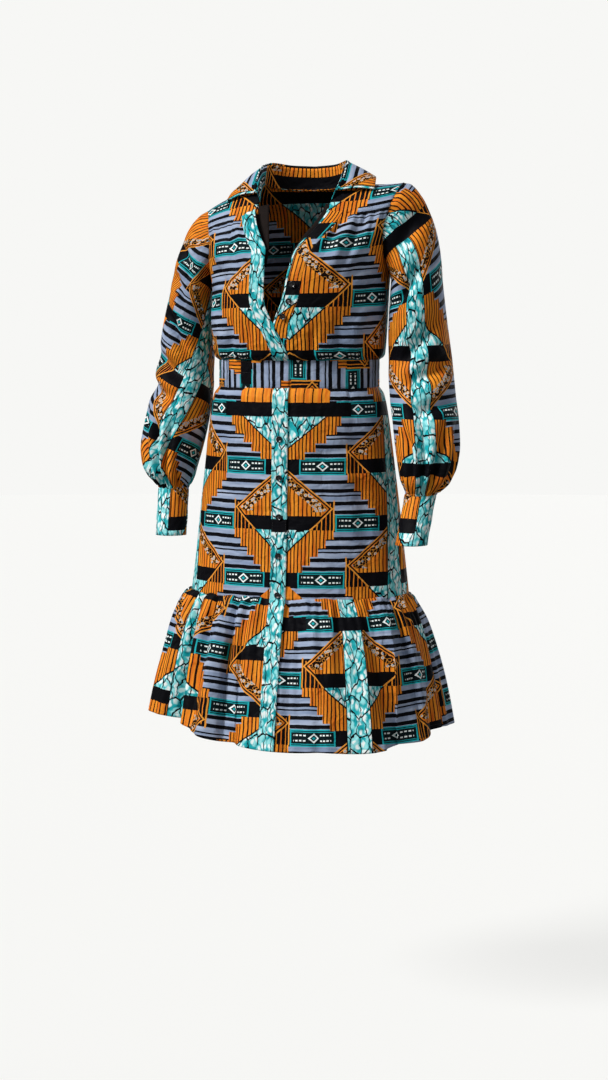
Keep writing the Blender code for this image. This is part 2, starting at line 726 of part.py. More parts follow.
def make_button(name, point, normal, finish):
    mesh = button_mesh()
    mesh.materials.append(finish)
    made = bpy.data.objects.new(name, mesh)
    PIECES.objects.link(made)
    turn = made.modifiers.new("turn", "SCREW")
    turn.steps = 10
    turn.render_steps = 10
    turn.use_merge_vertices = True
    turn.merge_threshold = 0.00005
    turn.use_normal_calculate = True
    made.location = point
    made.rotation_mode = "QUATERNION"
    made.rotation_quaternion = Vector(normal).to_track_quat("Z", "Y")


def button_on(name, grid_at, finish):
    """Sets a button on a surface: grid_at(du, dv) gives points round the place."""
    here, beside, above = (posed(grid_at(*step)) for step in ((0, 0), (1, 0), (0, 1)))
    normal = np.cross(beside - here, above - here)
    normal /= np.linalg.norm(normal)
    make_button(name, here + normal * BUTTON_CLEARANCE, normal, finish)


def make_buttons(finish):
    small = 0.002
    for number, level in enumerate(BODICE_BUTTON_LEVELS, 1):
        def place(across, up, level=level):
            middle = float(EDGES["left_edge"](level)) + BAND_HALF
            return section_point(FRONT, level + up * small, middle + across * small)
        button_on(f"button_bodice_{number}", place, finish)
    for number, z in enumerate(SKIRT_BUTTON_HEIGHTS, 1):
        def place(across, up, z=z):
            return skirt_points(z + up * small, across * small / 0.12)
        button_on(f"button_skirt_{number}", place, finish)
    for side in ("right", "left"):
        sign = 1 if side == "left" else -1
        for number, part in enumerate(CUFF_BUTTON_PARTS, 1):
            def place(across, up, part=part, side=side, sign=sign):
                turn = math.radians(270) - sign * across * small / 0.028
                spot = cuff_points(part + up * small / 0.086, np.array(turn), side)
                return spot * np.array([sign, 1, 1])
            button_on(f"button_cuff_{side}_{number}", place, finish)


# ---- the whole dress -----------------------------------------------------------------------

for old in list(bpy.data.objects):
    bpy.data.objects.remove(old)
PIECES = bpy.data.collections.new("wax_print_dress")
bpy.context.scene.collection.children.link(PIECES)

print_cotton = material("wax_print_cotton", (0.80, 0.28, 0.03), 0.6)
teal_cotton = material("teal_print_cotton", (0.01, 0.37, 0.38), 0.6)
facing_cotton = material("dark_facing_cotton", (0.02, 0.014, 0.012), 0.75)
button_plastic = material("black_button_plastic", (0.01, 0.01, 0.012), 0.25)

make_bodice_fronts(print_cotton)
make_yokes(print_cotton)
make_bodice_back(print_cotton)
make_front_bands(teal_cotton)
make_facings(facing_cotton)
make_collar(print_cotton)
make_waistband(print_cotton)
make_skirt(print_cotton)
make_flounce(print_cotton)
make_skirt_placket(teal_cotton)
make_sleeves(print_cotton)
make_cuffs(print_cotton)
make_buttons(button_plastic)
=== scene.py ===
"""Looks for the wax print shirt dress: fine cloth shells with their gathers and creases, the printed
cotton, the buttons and the stitching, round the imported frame.

Metres, +Z up; the front faces -Y and the wearer's left is +X. Every piece is worked out on a level,
upright figure from the tables below and then given the dress's stance.
"""

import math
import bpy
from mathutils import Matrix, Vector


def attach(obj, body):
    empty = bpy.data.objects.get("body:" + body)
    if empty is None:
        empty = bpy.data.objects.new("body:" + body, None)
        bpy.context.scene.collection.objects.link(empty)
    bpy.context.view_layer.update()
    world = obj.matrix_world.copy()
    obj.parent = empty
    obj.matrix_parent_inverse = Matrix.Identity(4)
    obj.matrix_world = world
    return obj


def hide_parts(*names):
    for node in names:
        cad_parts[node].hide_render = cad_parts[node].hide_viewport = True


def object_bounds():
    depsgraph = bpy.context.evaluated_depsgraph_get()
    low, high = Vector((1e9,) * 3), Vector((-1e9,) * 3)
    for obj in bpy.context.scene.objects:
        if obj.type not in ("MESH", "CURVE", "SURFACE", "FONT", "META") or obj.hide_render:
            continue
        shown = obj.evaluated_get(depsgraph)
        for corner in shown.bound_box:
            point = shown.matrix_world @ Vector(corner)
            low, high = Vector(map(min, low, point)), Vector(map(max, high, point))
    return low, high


bl_info = {
    "name": "Wax print shirt dress",
    "version": (1, 0, 0),
    "blender": (4, 5, 0),
    "location": "3D View > Sidebar > Dress",
    "description": "Builds the cloth, buttons and stitching of a wax print shirt dress",
    "category": "Object",
}

import bmesh
import bpy
import numpy as np
from bpy.props import FloatProperty, FloatVectorProperty, PointerProperty
from bpy.types import Operator, Panel, PropertyGroup
from mathutils import Matrix, Vector

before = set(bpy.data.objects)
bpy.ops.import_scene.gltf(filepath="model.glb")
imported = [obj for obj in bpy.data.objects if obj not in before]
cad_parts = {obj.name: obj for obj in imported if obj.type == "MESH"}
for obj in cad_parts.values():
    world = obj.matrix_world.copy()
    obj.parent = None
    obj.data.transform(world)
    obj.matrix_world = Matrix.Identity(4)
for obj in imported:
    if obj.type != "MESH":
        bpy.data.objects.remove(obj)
CAD_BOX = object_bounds()

# ---- sizes of the cut ----

# The wearer's right is at -X.
SIGNS = {"right": -1, "left": 1}
# The gap between two pieces at a seam, and how far the left front lies under the right one.
SEAM_GAP = 0.0003
LAYER = 0.0019
# The front bands. The underlap ends a little short, and rises to the front between these distances
# from them.
BAND_WIDTH = 0.029
BAND_HALF = BAND_WIDTH / 2
UNDERLAP_SHORT = 0.0008
UNDERLAP_FADE = (0.003, 0.018)
# Heights of the seams, from the shoulder line.
WAIST_TOP = -0.3025
WAIST_BOTTOM = -0.3510
FLOUNCE_TOP = -0.7222
CUFF_TOP = -0.5360
CUFF_BOTTOM = -0.6220
# Levels of the bodice, from the waist seam (0) to the shoulder seam (1). Between the slope levels
# the shoulders' slope turns into the body's even curve, and between the top levels the back runs
# up to its neckline.
YOKE_SEAM = 0.8875
ARMPIT = 0.55
SLOPE_LEVELS = (0.80, 0.55)
BACK_TOP_LEVELS = (0.90, 1.0)
SHOULDER_X = 0.182
NECK_X = 0.074
# The stance: the neck's sway, the left shoulder's lift, and the heights each of them grows between.
STANCE_SWAY = 0.012
STANCE_LIFT = 0.0225
SWAY_HEIGHTS = (-0.25, -0.01)
LIFT_HEIGHTS = (-0.36, 0.0)
BUTTON_RADIUS = 0.0056
BUTTON_THICK = 0.0026
SKIRT_BUTTON_HEIGHTS = (-0.4400, -0.5090, -0.5780, -0.6470, -0.7160)
# The facings: how far they reach under the front, lie inside it and end short of their line, and
# the levels of their ends.
FACING_HOLD = 0.012
FACING_CLEARANCE = 0.0012
FACING_SHORT = 0.001
FACING_FOOT = 0.62
FACING_TOP = 0.915

# The bodice's sections, by level.
SECTION_COLUMNS = ("level", "out_x", "out_y", "out_z", "mid_y", "mid_z")
FRONT_SECTIONS = (
    (0.00, 0.1470, 0.002, WAIST_TOP, -0.1065, WAIST_TOP),
    (0.05, 0.1560, 0.003, -0.2920, -0.1190, -0.2935),
    (0.20, 0.1610, 0.004, -0.2500, -0.1270, -0.2510),
    (0.38, 0.1630, 0.003, -0.2050, -0.1310, -0.2050),
    (0.55, 0.1645, 0.000, -0.1580, -0.1290, -0.1550),
    (0.66, 0.1610, -0.040, -0.1250, -0.1190, -0.1170),
    (0.78, 0.1610, -0.051, -0.0880, -0.1010, -0.0740),
    (0.90, 0.1690, -0.041, -0.0470, -0.0700, -0.0270),
    (0.95, 0.1755, -0.023, -0.0270, -0.0490, 0.0060),
    (0.98, 0.1800, -0.013, -0.0155, -0.0270, 0.0255),
    (1.00, SHOULDER_X, -0.002, -0.0120, -0.0120, 0.0300),
)
BACK_SECTIONS = (
    (0.00, 0.1470, 0.002, WAIST_TOP, 0.1045, WAIST_TOP),
    (0.05, 0.1560, 0.003, -0.2920, 0.1160, -0.2935),
    (0.20, 0.1610, 0.004, -0.2500, 0.1180, -0.2500),
    (0.38, 0.1630, 0.003, -0.2050, 0.1160, -0.2030),
    (0.55, 0.1645, 0.000, -0.1580, 0.1140, -0.1500),
    (0.66, 0.1630, 0.040, -0.1250, 0.1110, -0.1100),
    (0.78, 0.1640, 0.051, -0.0880, 0.1050, -0.0660),
    (0.90, 0.1710, 0.043, -0.0470, 0.0900, -0.0270),
    (0.95, 0.1765, 0.027, -0.0270, 0.0780, -0.0110),
    (0.98, 0.1805, 0.010, -0.0150, 0.0670, -0.0010),
    (1.00, SHOULDER_X, -0.002, -0.0120, 0.0600, 0.0030),
)
EDGE_COLUMNS = ("level", "right_edge", "left_edge", "right_facing", "left_facing")
FRONT_EDGES = (
    (0.00, 0.0145, -0.0145, 0.0145, -0.0145),
    (0.06, 0.0140, -0.0145, 0.0140, -0.0145),
    (0.20, -0.0020, -0.0120, -0.0020, -0.0120),
    (0.30, -0.0150, -0.0050, -0.0150, -0.0050),
    (0.42, -0.0270, 0.0065, -0.0270, 0.0065),
    (0.57, -0.0300, 0.0125, -0.0300, 0.0125),
    (0.68, -0.0320, 0.0190, -0.0300, 0.0160),
    (0.75, -0.0450, 0.0340, -0.0340, 0.0280),
    (0.82, -0.0580, 0.0510, -0.0400, 0.0430),
    (0.90, -0.0690, 0.0650, -0.0480, 0.0560),
    (1.00, -NECK_X, NECK_X, -0.0600, 0.0640),
)
SKIRT_COLUMNS = ("z", "half_width", "front_depth", "back_depth")
SKIRT_SECTIONS = (
    (WAIST_BOTTOM, 0.1475, 0.1070, 0.1050),
    (-0.3660, 0.1570, 0.1130, 0.1140),
    (-0.4000, 0.1640, 0.1150, 0.1220),
    (-0.4500, 0.1710, 0.1170, 0.1300),
    (-0.5000, 0.1770, 0.1180, 0.1360),
    (-0.5800, 0.1870, 0.1200, 0.1420),
    (-0.6600, 0.1960, 0.1250, 0.1470),
    (FLOUNCE_TOP, 0.2030, 0.1300, 0.1500),
)
FLOUNCE_COLUMNS = ("part_down", "half_width", "front_depth", "back_depth")
FLOUNCE_SECTIONS = (
    (0.00, 0.2030, 0.1300, 0.1500),
    (0.08, 0.2150, 0.1400, 0.1620),
    (0.22, 0.2300, 0.1520, 0.1730),
    (0.60, 0.2510, 0.1780, 0.1920),
    (1.00, 0.2670, 0.2000, 0.2090),
)
HEM_COLUMNS = ("bearing", "z")
HEM_SECTIONS = (
    (-180, -0.962),
    (-135, -0.950),
    (-90, -0.936),
    (-50, -0.946),
    (-17, -0.975),
    (5, -0.984),
    (35, -0.985),
    (60, -0.976),
    (90, -0.959),
    (135, -0.958),
    (180, -0.962),
)
# Each large fold at the hem: its bearing, depth and half angle; a ridge's depth is negative.
FLOUNCE_FOLDS = (
    (-15, 0.020, 5.0),
    (-29, -0.010, 8.0),
    (-46, 0.017, 6.0),
    (-63, -0.012, 8.0),
    (-80, 0.016, 6.0),
    (-98, -0.012, 8.0),
    (-116, 0.018, 7.0),
    (-137, -0.010, 9.0),
    (-158, 0.016, 7.0),
    (-178, -0.010, 9.0),
    (160, 0.018, 7.0),
    (139, -0.012, 9.0),
    (118, 0.015, 7.0),
    (98, -0.012, 8.0),
    (80, 0.016, 6.0),
    (69, -0.012, 6.0),
    (57, 0.020, 5.0),
    (40, -0.010, 9.0),
    (21, 0.009, 6.0),
)
# How fast the folds grow towards the hem.
FOLD_GROWTH = 0.8
SLEEVE_COLUMNS = ("z", "inner_x", "outer_x", "half_depth")
SLEEVE_SECTIONS = (
    (-0.1700, 0.1700, 0.2520, 0.0600),
    (-0.2200, 0.1690, 0.2610, 0.0630),
    (-0.2700, 0.1680, 0.2690, 0.0650),
    (-0.3200, 0.1680, 0.2770, 0.0660),
    (-0.3700, 0.1720, 0.2860, 0.0680),
    (-0.4200, 0.1800, 0.2960, 0.0690),
    (-0.4600, 0.1880, 0.3000, 0.0680),
    (-0.4900, 0.1950, 0.2960, 0.0620),
    (-0.5130, 0.2010, 0.2850, 0.0500),
    (-0.5270, 0.2080, 0.2700, 0.0320),
    (-0.5325, 0.2100, 0.2650, 0.0265),
    (CUFF_TOP + SEAM_GAP, 0.2100, 0.2650, 0.0265),
)
# Each arm leans forward below its bend and swings out; the cap's fullness is how round its top is.
ARM_LEAN = {"right": -0.050, "left": -0.105}
LEAN_START = -0.30
LEAN_CURVE = 1.15
ARM_SWING = {"right": -0.007, "left": 0.007}
SWING_HEIGHTS = (-0.25, -0.45)
ARM_Y = 0.004
CAP_FULLNESS = {"right": 1.0, "left": 0.75}
# A cuff narrows by its taper towards the sleeve and is a little flat from front to back.
CUFF_X = 0.2375
CUFF_RADIUS = 0.0285
CUFF_TAPER = 0.001
CUFF_FLAT = 0.001
CUFF_SLANT = {"right": 0.0, "left": -0.008}
COLLAR_COLUMNS = ("along", "top_x", "top_y", "top_z", "free_x", "free_y", "free_z")
COLLAR_SECTIONS = (
    (0.00, 0.0000, 0.0570, 0.0440, 0.0000, 0.0860, -0.0040),
    (0.25, 0.0380, 0.0490, 0.0460, 0.0480, 0.0830, 0.0000),
    (0.50, 0.0670, 0.0230, 0.0510, 0.0980, 0.0560, 0.0120),
    (0.70, 0.0780, -0.0080, 0.0440, 0.1250, 0.0180, 0.0150),
    (0.85, 0.0790, -0.0330, 0.0210, 0.1340, -0.0100, 0.0080),
    (1.00, 0.0750, -0.0560, -0.0020, 0.1390, -0.0370, -0.0100),
)
LEAF_ROLL = 0.0030
LEAF_BULGE = 0.004
LEAF_WAVE = 0.0012
COLLAR_FRONT_END = 0.925
COLLAR_AT_SHOULDER = 0.62

# ---- creases and gathers ----

# Each main crease: its start and its end, each across its piece and up, then its depth, which is
# negative for a ridge, and its width.
FRONT_CREASES = {
    "right": (
        (-0.125, -0.060, -0.085, -0.150, 0.0045, 0.008),
        (-0.105, -0.055, -0.068, -0.125, -0.0035, 0.008),
        (-0.088, -0.052, -0.060, -0.105, 0.0040, 0.006),
        (-0.152, -0.115, -0.105, -0.175, 0.0045, 0.010),
        (-0.158, -0.165, -0.120, -0.235, 0.0040, 0.010),
        (-0.140, -0.200, -0.110, -0.285, -0.0040, 0.012),
        (-0.095, -0.235, -0.100, -0.300, 0.0045, 0.007),
        (-0.062, -0.240, -0.058, -0.300, 0.0040, 0.006),
    ),
    "left": (
        (0.098, -0.030, 0.070, -0.120, 0.0055, 0.009),
        (0.116, -0.040, 0.090, -0.135, -0.0040, 0.009),
        (0.133, -0.050, 0.100, -0.155, 0.0050, 0.009),
        (0.150, -0.105, 0.115, -0.170, 0.0045, 0.010),
        (0.160, -0.155, 0.125, -0.230, 0.0045, 0.010),
        (0.140, -0.205, 0.120, -0.290, -0.0040, 0.012),
        (0.100, -0.230, 0.104, -0.300, 0.0045, 0.007),
        (0.062, -0.245, 0.058, -0.300, 0.0040, 0.006),
        (0.034, -0.250, 0.030, -0.300, 0.0030, 0.005),
    ),
}
BACK_CREASES = (
    (-0.140, -0.120, -0.080, -0.220, 0.0050, 0.012),
    (-0.150, -0.180, -0.095, -0.285, 0.0050, 0.011),
    (-0.060, -0.210, -0.050, -0.300, 0.0045, 0.008),
    (-0.015, -0.200, -0.020, -0.300, 0.0040, 0.009),
    (0.030, -0.215, 0.026, -0.300, 0.0045, 0.008),
    (0.075, -0.200, 0.065, -0.300, 0.0045, 0.009),
    (0.145, -0.110, 0.085, -0.205, 0.0050, 0.012),
    (0.152, -0.175, 0.110, -0.285, 0.0050, 0.011),
    (0.060, -0.060, -0.060, -0.075, 0.0025, 0.012),
)
# On the skirt, across is measured round the body from the centre front.
SKIRT_CREASES = (
    (-0.175, -0.400, -0.040, -0.445, 0.0022, 0.009),
    (-0.190, -0.450, -0.060, -0.470, -0.0018, 0.010),
    (0.045, -0.480, 0.170, -0.440, 0.0024, 0.010),
    (0.060, -0.520, 0.190, -0.500, -0.0018, 0.011),
    (-0.120, -0.370, -0.145, -0.700, 0.0030, 0.016),
    (0.130, -0.370, 0.165, -0.700, 0.0035, 0.016),
    (-0.065, -0.390, -0.080, -0.560, 0.0018, 0.012),
    (0.075, -0.400, 0.085, -0.600, 0.0018, 0.013),
    (-0.215, -0.400, -0.235, -0.700, 0.0050, 0.014),
    (0.225, -0.400, 0.245, -0.700, 0.0045, 0.014),
    (0.300, -0.380, 0.330, -0.700, 0.0045, 0.018),
    (0.400, -0.380, 0.410, -0.690, 0.0040, 0.018),
    (0.500, -0.370, 0.520, -0.700, 0.0045, 0.018),
    (0.350, -0.560, 0.480, -0.570, 0.0020, 0.012),
)
# The flounce's deeper folds, measured the same way.
FLOUNCE_CREASES = (
    (-0.096, -0.720, -0.086, -1.000, 0.0100, 0.0075),
    (-0.074, -0.730, -0.066, -1.000, -0.0050, 0.0110),
    (-0.125, -0.730, -0.122, -0.990, -0.0060, 0.0120),
    (-0.158, -0.730, -0.165, -0.980, 0.0075, 0.0090),
    (-0.200, -0.740, -0.215, -0.970, 0.0060, 0.0100),
    (0.045, -0.735, 0.052, -0.930, 0.0040, 0.0080),
    (0.082, -0.760, 0.100, -1.010, -0.0045, 0.0140),
    (0.128, -0.730, 0.140, -0.990, 0.0055, 0.0095),
    (0.190, -0.730, 0.210, -1.000, 0.0065, 0.0110),
    (0.228, -0.740, 0.240, -1.000, -0.0050, 0.0130),
    (0.268, -0.725, 0.285, -0.990, 0.0085, 0.0095),
    (0.420, -0.730, 0.430, -0.980, 0.0070, 0.0120),
    (0.530, -0.730, 0.545, -0.980, 0.0075, 0.0120),
    (0.640, -0.740, 0.650, -0.980, 0.0065, 0.0130),
    (0.760, -0.730, 0.770, -0.980, 0.0075, 0.0120),
)
# On a sleeve, across is measured round it from the outer line, towards the front.
SLEEVE_CREASES = {
    "right": (
        (0.020, -0.075, 0.110, -0.150, 0.0050, 0.011),
        (0.030, -0.130, 0.120, -0.185, 0.0045, 0.012),
        (0.050, -0.205, 0.130, -0.290, 0.0055, 0.013),
        (0.020, -0.290, 0.125, -0.335, 0.0060, 0.014),
        (0.000, -0.345, 0.110, -0.375, 0.0055, 0.013),
        (0.035, -0.400, 0.060, -0.520, 0.0070, 0.010),
        (0.075, -0.410, 0.085, -0.525, 0.0065, 0.009),
        (0.110, -0.420, 0.105, -0.525, 0.0060, 0.009),
        (-0.010, -0.420, 0.010, -0.525, 0.0065, 0.010),
        (-0.060, -0.120, -0.150, -0.200, 0.0050, 0.012),
        (-0.080, -0.260, -0.160, -0.330, 0.0055, 0.013),
        (-0.070, -0.410, -0.060, -0.525, 0.0065, 0.010),
        (-0.130, -0.400, -0.115, -0.525, 0.0065, 0.010),
    ),
    "left": (
        (0.015, -0.060, 0.105, -0.130, 0.0045, 0.011),
        (0.060, -0.150, 0.130, -0.215, 0.0050, 0.012),
        (0.030, -0.235, 0.120, -0.310, 0.0050, 0.013),
        (0.010, -0.300, 0.115, -0.345, 0.0055, 0.014),
        (0.000, -0.360, 0.100, -0.395, 0.0050, 0.013),
        (0.040, -0.410, 0.060, -0.525, 0.0070, 0.010),
        (0.085, -0.400, 0.085, -0.525, 0.0065, 0.009),
        (0.120, -0.420, 0.110, -0.525, 0.0060, 0.009),
        (0.000, -0.415, 0.015, -0.525, 0.0065, 0.010),
        (-0.060, -0.130, -0.150, -0.210, 0.0050, 0.012),
        (-0.090, -0.270, -0.160, -0.340, 0.0055, 0.013),
        (-0.070, -0.400, -0.060, -0.525, 0.0065, 0.010),
        (-0.130, -0.410, -0.115, -0.525, 0.0065, 0.010),
    ),
}
# How many times deeper than their tables the flounce's and the sleeves' creases are made.
FLOUNCE_DEEPER = 1.45
SLEEVE_DEEPER = 2.2
# The parts of its length over which a crease fades in and out, some of them past its ends.
CREASE_IN = (-0.20, 0.35)
CREASE_OUT = (1.20, 0.65)

# Each gathered seam: from one pleat to the next, their depth, and how far they run from the seam.
GATHERS = {
    "yoke": (0.0085, 0.0026, 0.040),
    "waist": (0.0090, 0.0024, 0.030),
    "waist back": (0.0095, 0.0024, 0.032),
    "band top": (0.010, 0.0009, 0.014),
    "band foot": (0.011, 0.0009, 0.014),
    "skirt": (0.0105, 0.0016, 0.032),
    "skirt foot": (0.012, 0.0008, 0.02),
    "flounce": (0.0115, 0.0048, 0.075),
    "flounce flutes": (0.036, 0.0076, 1.0),
    "cap": (0.0095, 0.0046, 0.036),
    "wrist": (0.0110, 0.0056, 0.058),
}
# At the seam itself a pleat has this share of its depth, and all of it this far away.
SEAM_SHARE = 0.25
PLEAT_GROWN = 0.012
# How far each side of the underarm seam the sleeve and the cuff lie calm, in radians.
SLEEVE_CALM = 0.3
CUFF_CALM = 0.4

# Where the printed repeat lies on each piece: the centre line and top of one of its diamonds, both in
# metres of cloth, how many degrees the piece is turned on the cloth, and how many times as wide as
# drawn the print lies there.
PRINT_PLACES = (
    ("bodice_front_right", 0.4838, -0.111, 0, 1.15),
    ("bodice_front_left", 0.5168, -0.111, 0, 1.15),
    ("bodice_back", 0.444, -0.104, 0, 1.0),
    ("yoke_right", 0.4838, -0.111, 0, 1.15),
    ("yoke_left", 0.5168, -0.111, 0, 1.15),
    ("button_band_left", -0.246, -0.025, 0, 1.0),
    ("collar_stand", 0.0, 0.090, 0, 1.0),
    ("collar_leaf", 0.0, 0.090, 0, 1.0),
    ("waistband", 0.030, -0.084, 90, 1.0),
    ("skirt_front_right", 0.0135, 0.288, 0, 1.05),
    ("skirt_front_left", -0.0045, 0.288, 0, 1.05),
    ("skirt_back", 0.0035, 0.288, 0, 1.0),
    ("flounce_front_right", 0.004, 0.400, 180, 1.0),
    ("flounce_front_left", -0.061, -0.055, 0, 1.0),
    ("flounce_back", 0.060, 0.0, 0, 1.0),
    ("sleeve_right", 0.7333, 0.5930, 202, 1.0),
    ("sleeve_left", 0.568, 0.291, 180, 1.0),
    ("cuff_right", -0.187, 0.600, 0, 1.0),
    ("cuff_left", -0.233, 0.588, 0, 1.0),
)
PLACES = {row[0]: row[1:] for row in PRINT_PLACES}


# ---- reading the tables ----

def monotone_slopes(xs, ys):
    """Slopes for a smooth curve through the points that never overshoots between them."""
    part = np.diff(ys) / np.diff(xs)
    slope = np.concatenate([part[:1], np.zeros(len(part) - 1), part[-1:]])
    before, after = part[:-1], part[1:]
    same_way = before * after > 0
    slope[1:-1][same_way] = (2 * before * after)[same_way] / (before + after)[same_way]
    return slope


def reading(table, columns, name):
    """A function that reads one column of a table smoothly, by its first column."""
    rows = sorted(table)
    xs = np.array([row[0] for row in rows], float)
    ys = np.array([row[columns.index(name)] for row in rows], float)
    slope = monotone_slopes(xs, ys)

    def read(x):
        x = np.clip(np.asarray(x, float), xs[0], xs[-1])
        i = np.clip(np.searchsorted(xs, x, side="right") - 1, 0, len(xs) - 2)
        step = xs[i + 1] - xs[i]
        t = (x - xs[i]) / step
        rise = ys[i + 1] - ys[i]
        start = t * (1 - t) ** 2 * slope[i] * step
        end = t * t * (t - 1) * slope[i + 1] * step
        return ys[i] + (3 - 2 * t) * t * t * rise + start + end

    return read


def reader(table, columns):
    """All columns of a table as smooth functions of the first one."""
    return {name: reading(table, columns, name) for name in columns[1:]}


FRONT = reader(FRONT_SECTIONS, SECTION_COLUMNS)
BACK = reader(BACK_SECTIONS, SECTION_COLUMNS)
EDGES = reader(FRONT_EDGES, EDGE_COLUMNS)
SKIRT = reader(SKIRT_SECTIONS, SKIRT_COLUMNS)
FLOUNCE = reader(FLOUNCE_SECTIONS, FLOUNCE_COLUMNS)
HEM = reader(HEM_SECTIONS, HEM_COLUMNS)
SLEEVE = reader(SLEEVE_SECTIONS, SLEEVE_COLUMNS)
COLLAR = reader(COLLAR_SECTIONS, COLLAR_COLUMNS)


def smoothstep(low, high, x):
    """Rises smoothly from 0 at low to 1 at high."""
    t = np.clip((np.asarray(x, float) - low) / (high - low), 0, 1)
    return t * t * (3 - 2 * t)


def posed(points):
    """The stance: the left shoulder lifted and the right one dropped, the neck a little to the left."""
    x, y, z = np.moveaxis(np.asarray(points, float), -1, 0)
    tilt = STANCE_LIFT * np.clip(x / SHOULDER_X, -1, 1) ** 3 * smoothstep(*LIFT_HEIGHTS, z)
    return np.stack([x + STANCE_SWAY * smoothstep(*SWAY_HEIGHTS, z), y, z + tilt], axis=-1)


def normals_of(grid, closed=False):
    """The outward normals of a grid, which may close on itself across its columns."""
    if closed:
        grid = np.concatenate([grid[:, -1:], grid, grid[:, :1]], axis=1)
    normal = np.cross(np.gradient(grid, axis=1), np.gradient(grid, axis=0))
    normal = normal / np.linalg.norm(normal, axis=-1, keepdims=True)
    return normal[:, 1:-1] if closed else normal


def moved_out(grid, distance, closed=False):
    """The same grid of points, moved along its outward normals."""
    return grid + normals_of(grid, closed) * np.asarray(distance)[..., None]


def lengths(points, axis):
    """Distance run along one axis of a grid of points, from its first row or column."""
    step = np.linalg.norm(np.diff(points, axis=axis), axis=-1)
    return np.concatenate([np.zeros_like(np.take(step, [0], axis)), np.cumsum(step, axis)], axis)


def creased(across, z, table):
    """How far the cloth stands out at each place, from the table's troughs and ridges."""
    total = np.zeros(np.broadcast(across, z).shape)
    for from_across, from_z, to_across, to_z, depth, width in table:
        run, fall = to_across - from_across, to_z - from_z
        length = math.hypot(run, fall)
        part = ((across - from_across) * run + (z - from_z) * fall) / length**2
        away = ((across - from_across) * fall - (z - from_z) * run) / length
        ends = smoothstep(*CREASE_IN, part) * smoothstep(*CREASE_OUT, part)
        total -= depth * ends * np.exp(-((away / width) ** 2))
    return total


def gathered(seam, across, away, piece=""):
    """Uneven small pleats along a seam, each fading out at its own distance from it."""
    pitch, depth, reach = GATHERS[seam]
    seed = f"{seam} {piece}" if piece else seam
    chance = np.random.default_rng([ord(letter) for letter in seed])
    across, away = np.broadcast_arrays(across, np.maximum(away, 0))
    total = np.zeros(across.shape)
    place = float(across.min())
    while place < across.max():
        width = pitch * chance.uniform(0.24, 0.46)
        height = depth * chance.uniform(0.45, 1.2) * chance.choice([1, 1, -1])
        length = reach * chance.uniform(0.45, 1.4)
        slant = chance.uniform(-0.12, 0.12)
        shape = np.exp(-(((across - place - slant * away) / width) ** 2))
        grown = SEAM_SHARE + (1 - SEAM_SHARE) * smoothstep(0, PLEAT_GROWN, away)
        fade = grown * np.exp(-((away / length) ** 1.3))
        total += height * shape * fade
        place += pitch * chance.uniform(0.65, 1.35)
    return total


# ---- the bodice's surfaces ----

def section_point(read, level, across):
    """A point of a bodice section, across metres from the centre line."""
    level, across = np.broadcast_arrays(np.asarray(level, float), np.asarray(across, float))
    sine = np.clip(across / read["out_x"](level), -1, 1)
    cosine = np.sqrt(1 - sine * sine)
    out_z, mid_z = read["out_z"](level), read["mid_z"](level)
    y = read["out_y"](level) + (read["mid_y"](level) - read["out_y"](level)) * cosine
    flat = smoothstep(*SLOPE_LEVELS, level)
    z = mid_z + (out_z - mid_z) * (np.abs(sine) * (1 - flat) + sine * sine * flat)
    return np.stack([across, y, z], axis=-1)


def underlap(across):
    """How far the left front's edge sinks below the right front's."""
    near, far = UNDERLAP_FADE
    return LAYER * (1 - smoothstep(BAND_HALF + near, BAND_HALF + far, across))


def front_grid(side, levels, count, inner):
    """Part of one front, from its inner edge to the side seam or armhole, columns from its right."""
    sign = SIGNS[side]
    out_x = FRONT["out_x"](levels)
    start = np.arcsin(np.clip(sign * inner(levels) / out_x, -1, 1))
    part = np.linspace(0, 1, count)[None]
    angle = start[:, None] + (math.pi / 2 - start[:, None]) * part
    grid = section_point(FRONT, levels[:, None], out_x[:, None] * np.sin(angle))
    return grid if sign > 0 else (grid * np.array([-1, 1, 1]))[:, ::-1]


def neck_back(across):
    """The back neckline, between the two shoulder seams."""
    part = np.sqrt(np.clip(1 - (across / NECK_X) ** 2, 0, 1))
    seam = section_point(FRONT, 1.0, NECK_X)
    y = seam[1] + (BACK["mid_y"](1.0) - seam[1]) * part
    z = seam[2] + (BACK["mid_z"](1.0) - seam[2]) * part
    return np.stack([across, y, z], axis=-1)


def back_grid(levels, count):
    """The bodice back, from side seam to side seam and up to the shoulders and the neckline."""
    angles = np.linspace(math.pi / 2, -math.pi / 2, count)
    rows = section_point(BACK, levels[:, None], BACK["out_x"](levels)[:, None] * np.sin(angles))
    across = SHOULDER_X * np.sin(angles)
    seam = section_point(FRONT, 1.0, across)
    top = np.where(np.abs(across)[:, None] < NECK_X, neck_back(across), seam)
    share = smoothstep(*BACK_TOP_LEVELS, levels)[:, None, None]
    return rows * (1 - share) + top * share


def edge_strip(side, levels, near, far, count, out=0.0):
    """A strip along a front edge: near and far give its two sides across the front."""
    part = np.linspace(0, 1, count)[None]
    across = near(levels)[:, None] * (1 - part) + far(levels)[:, None] * part
    grid = section_point(FRONT, levels[:, None], across)
    if side == "left":
        grid = moved_out(grid, -underlap(grid[..., 0]))
    return moved_out(grid, np.full(grid.shape[:2], out))


def neck_seam(along):
    """The neckline from the nape (0) round to the collar's front end (1), on the left side."""
    behind = np.clip(along / COLLAR_AT_SHOULDER, 0, 1)
    ahead = np.clip((along - COLLAR_AT_SHOULDER) / (1 - COLLAR_AT_SHOULDER), 0, 1)
    back = neck_back(NECK_X * np.sin(behind * math.pi / 2))
    level = 1.0 - (1.0 - COLLAR_FRONT_END) * ahead
    front = section_point(FRONT, level, EDGES["left_edge"](level))
    return np.where((along < COLLAR_AT_SHOULDER)[..., None], back, front)


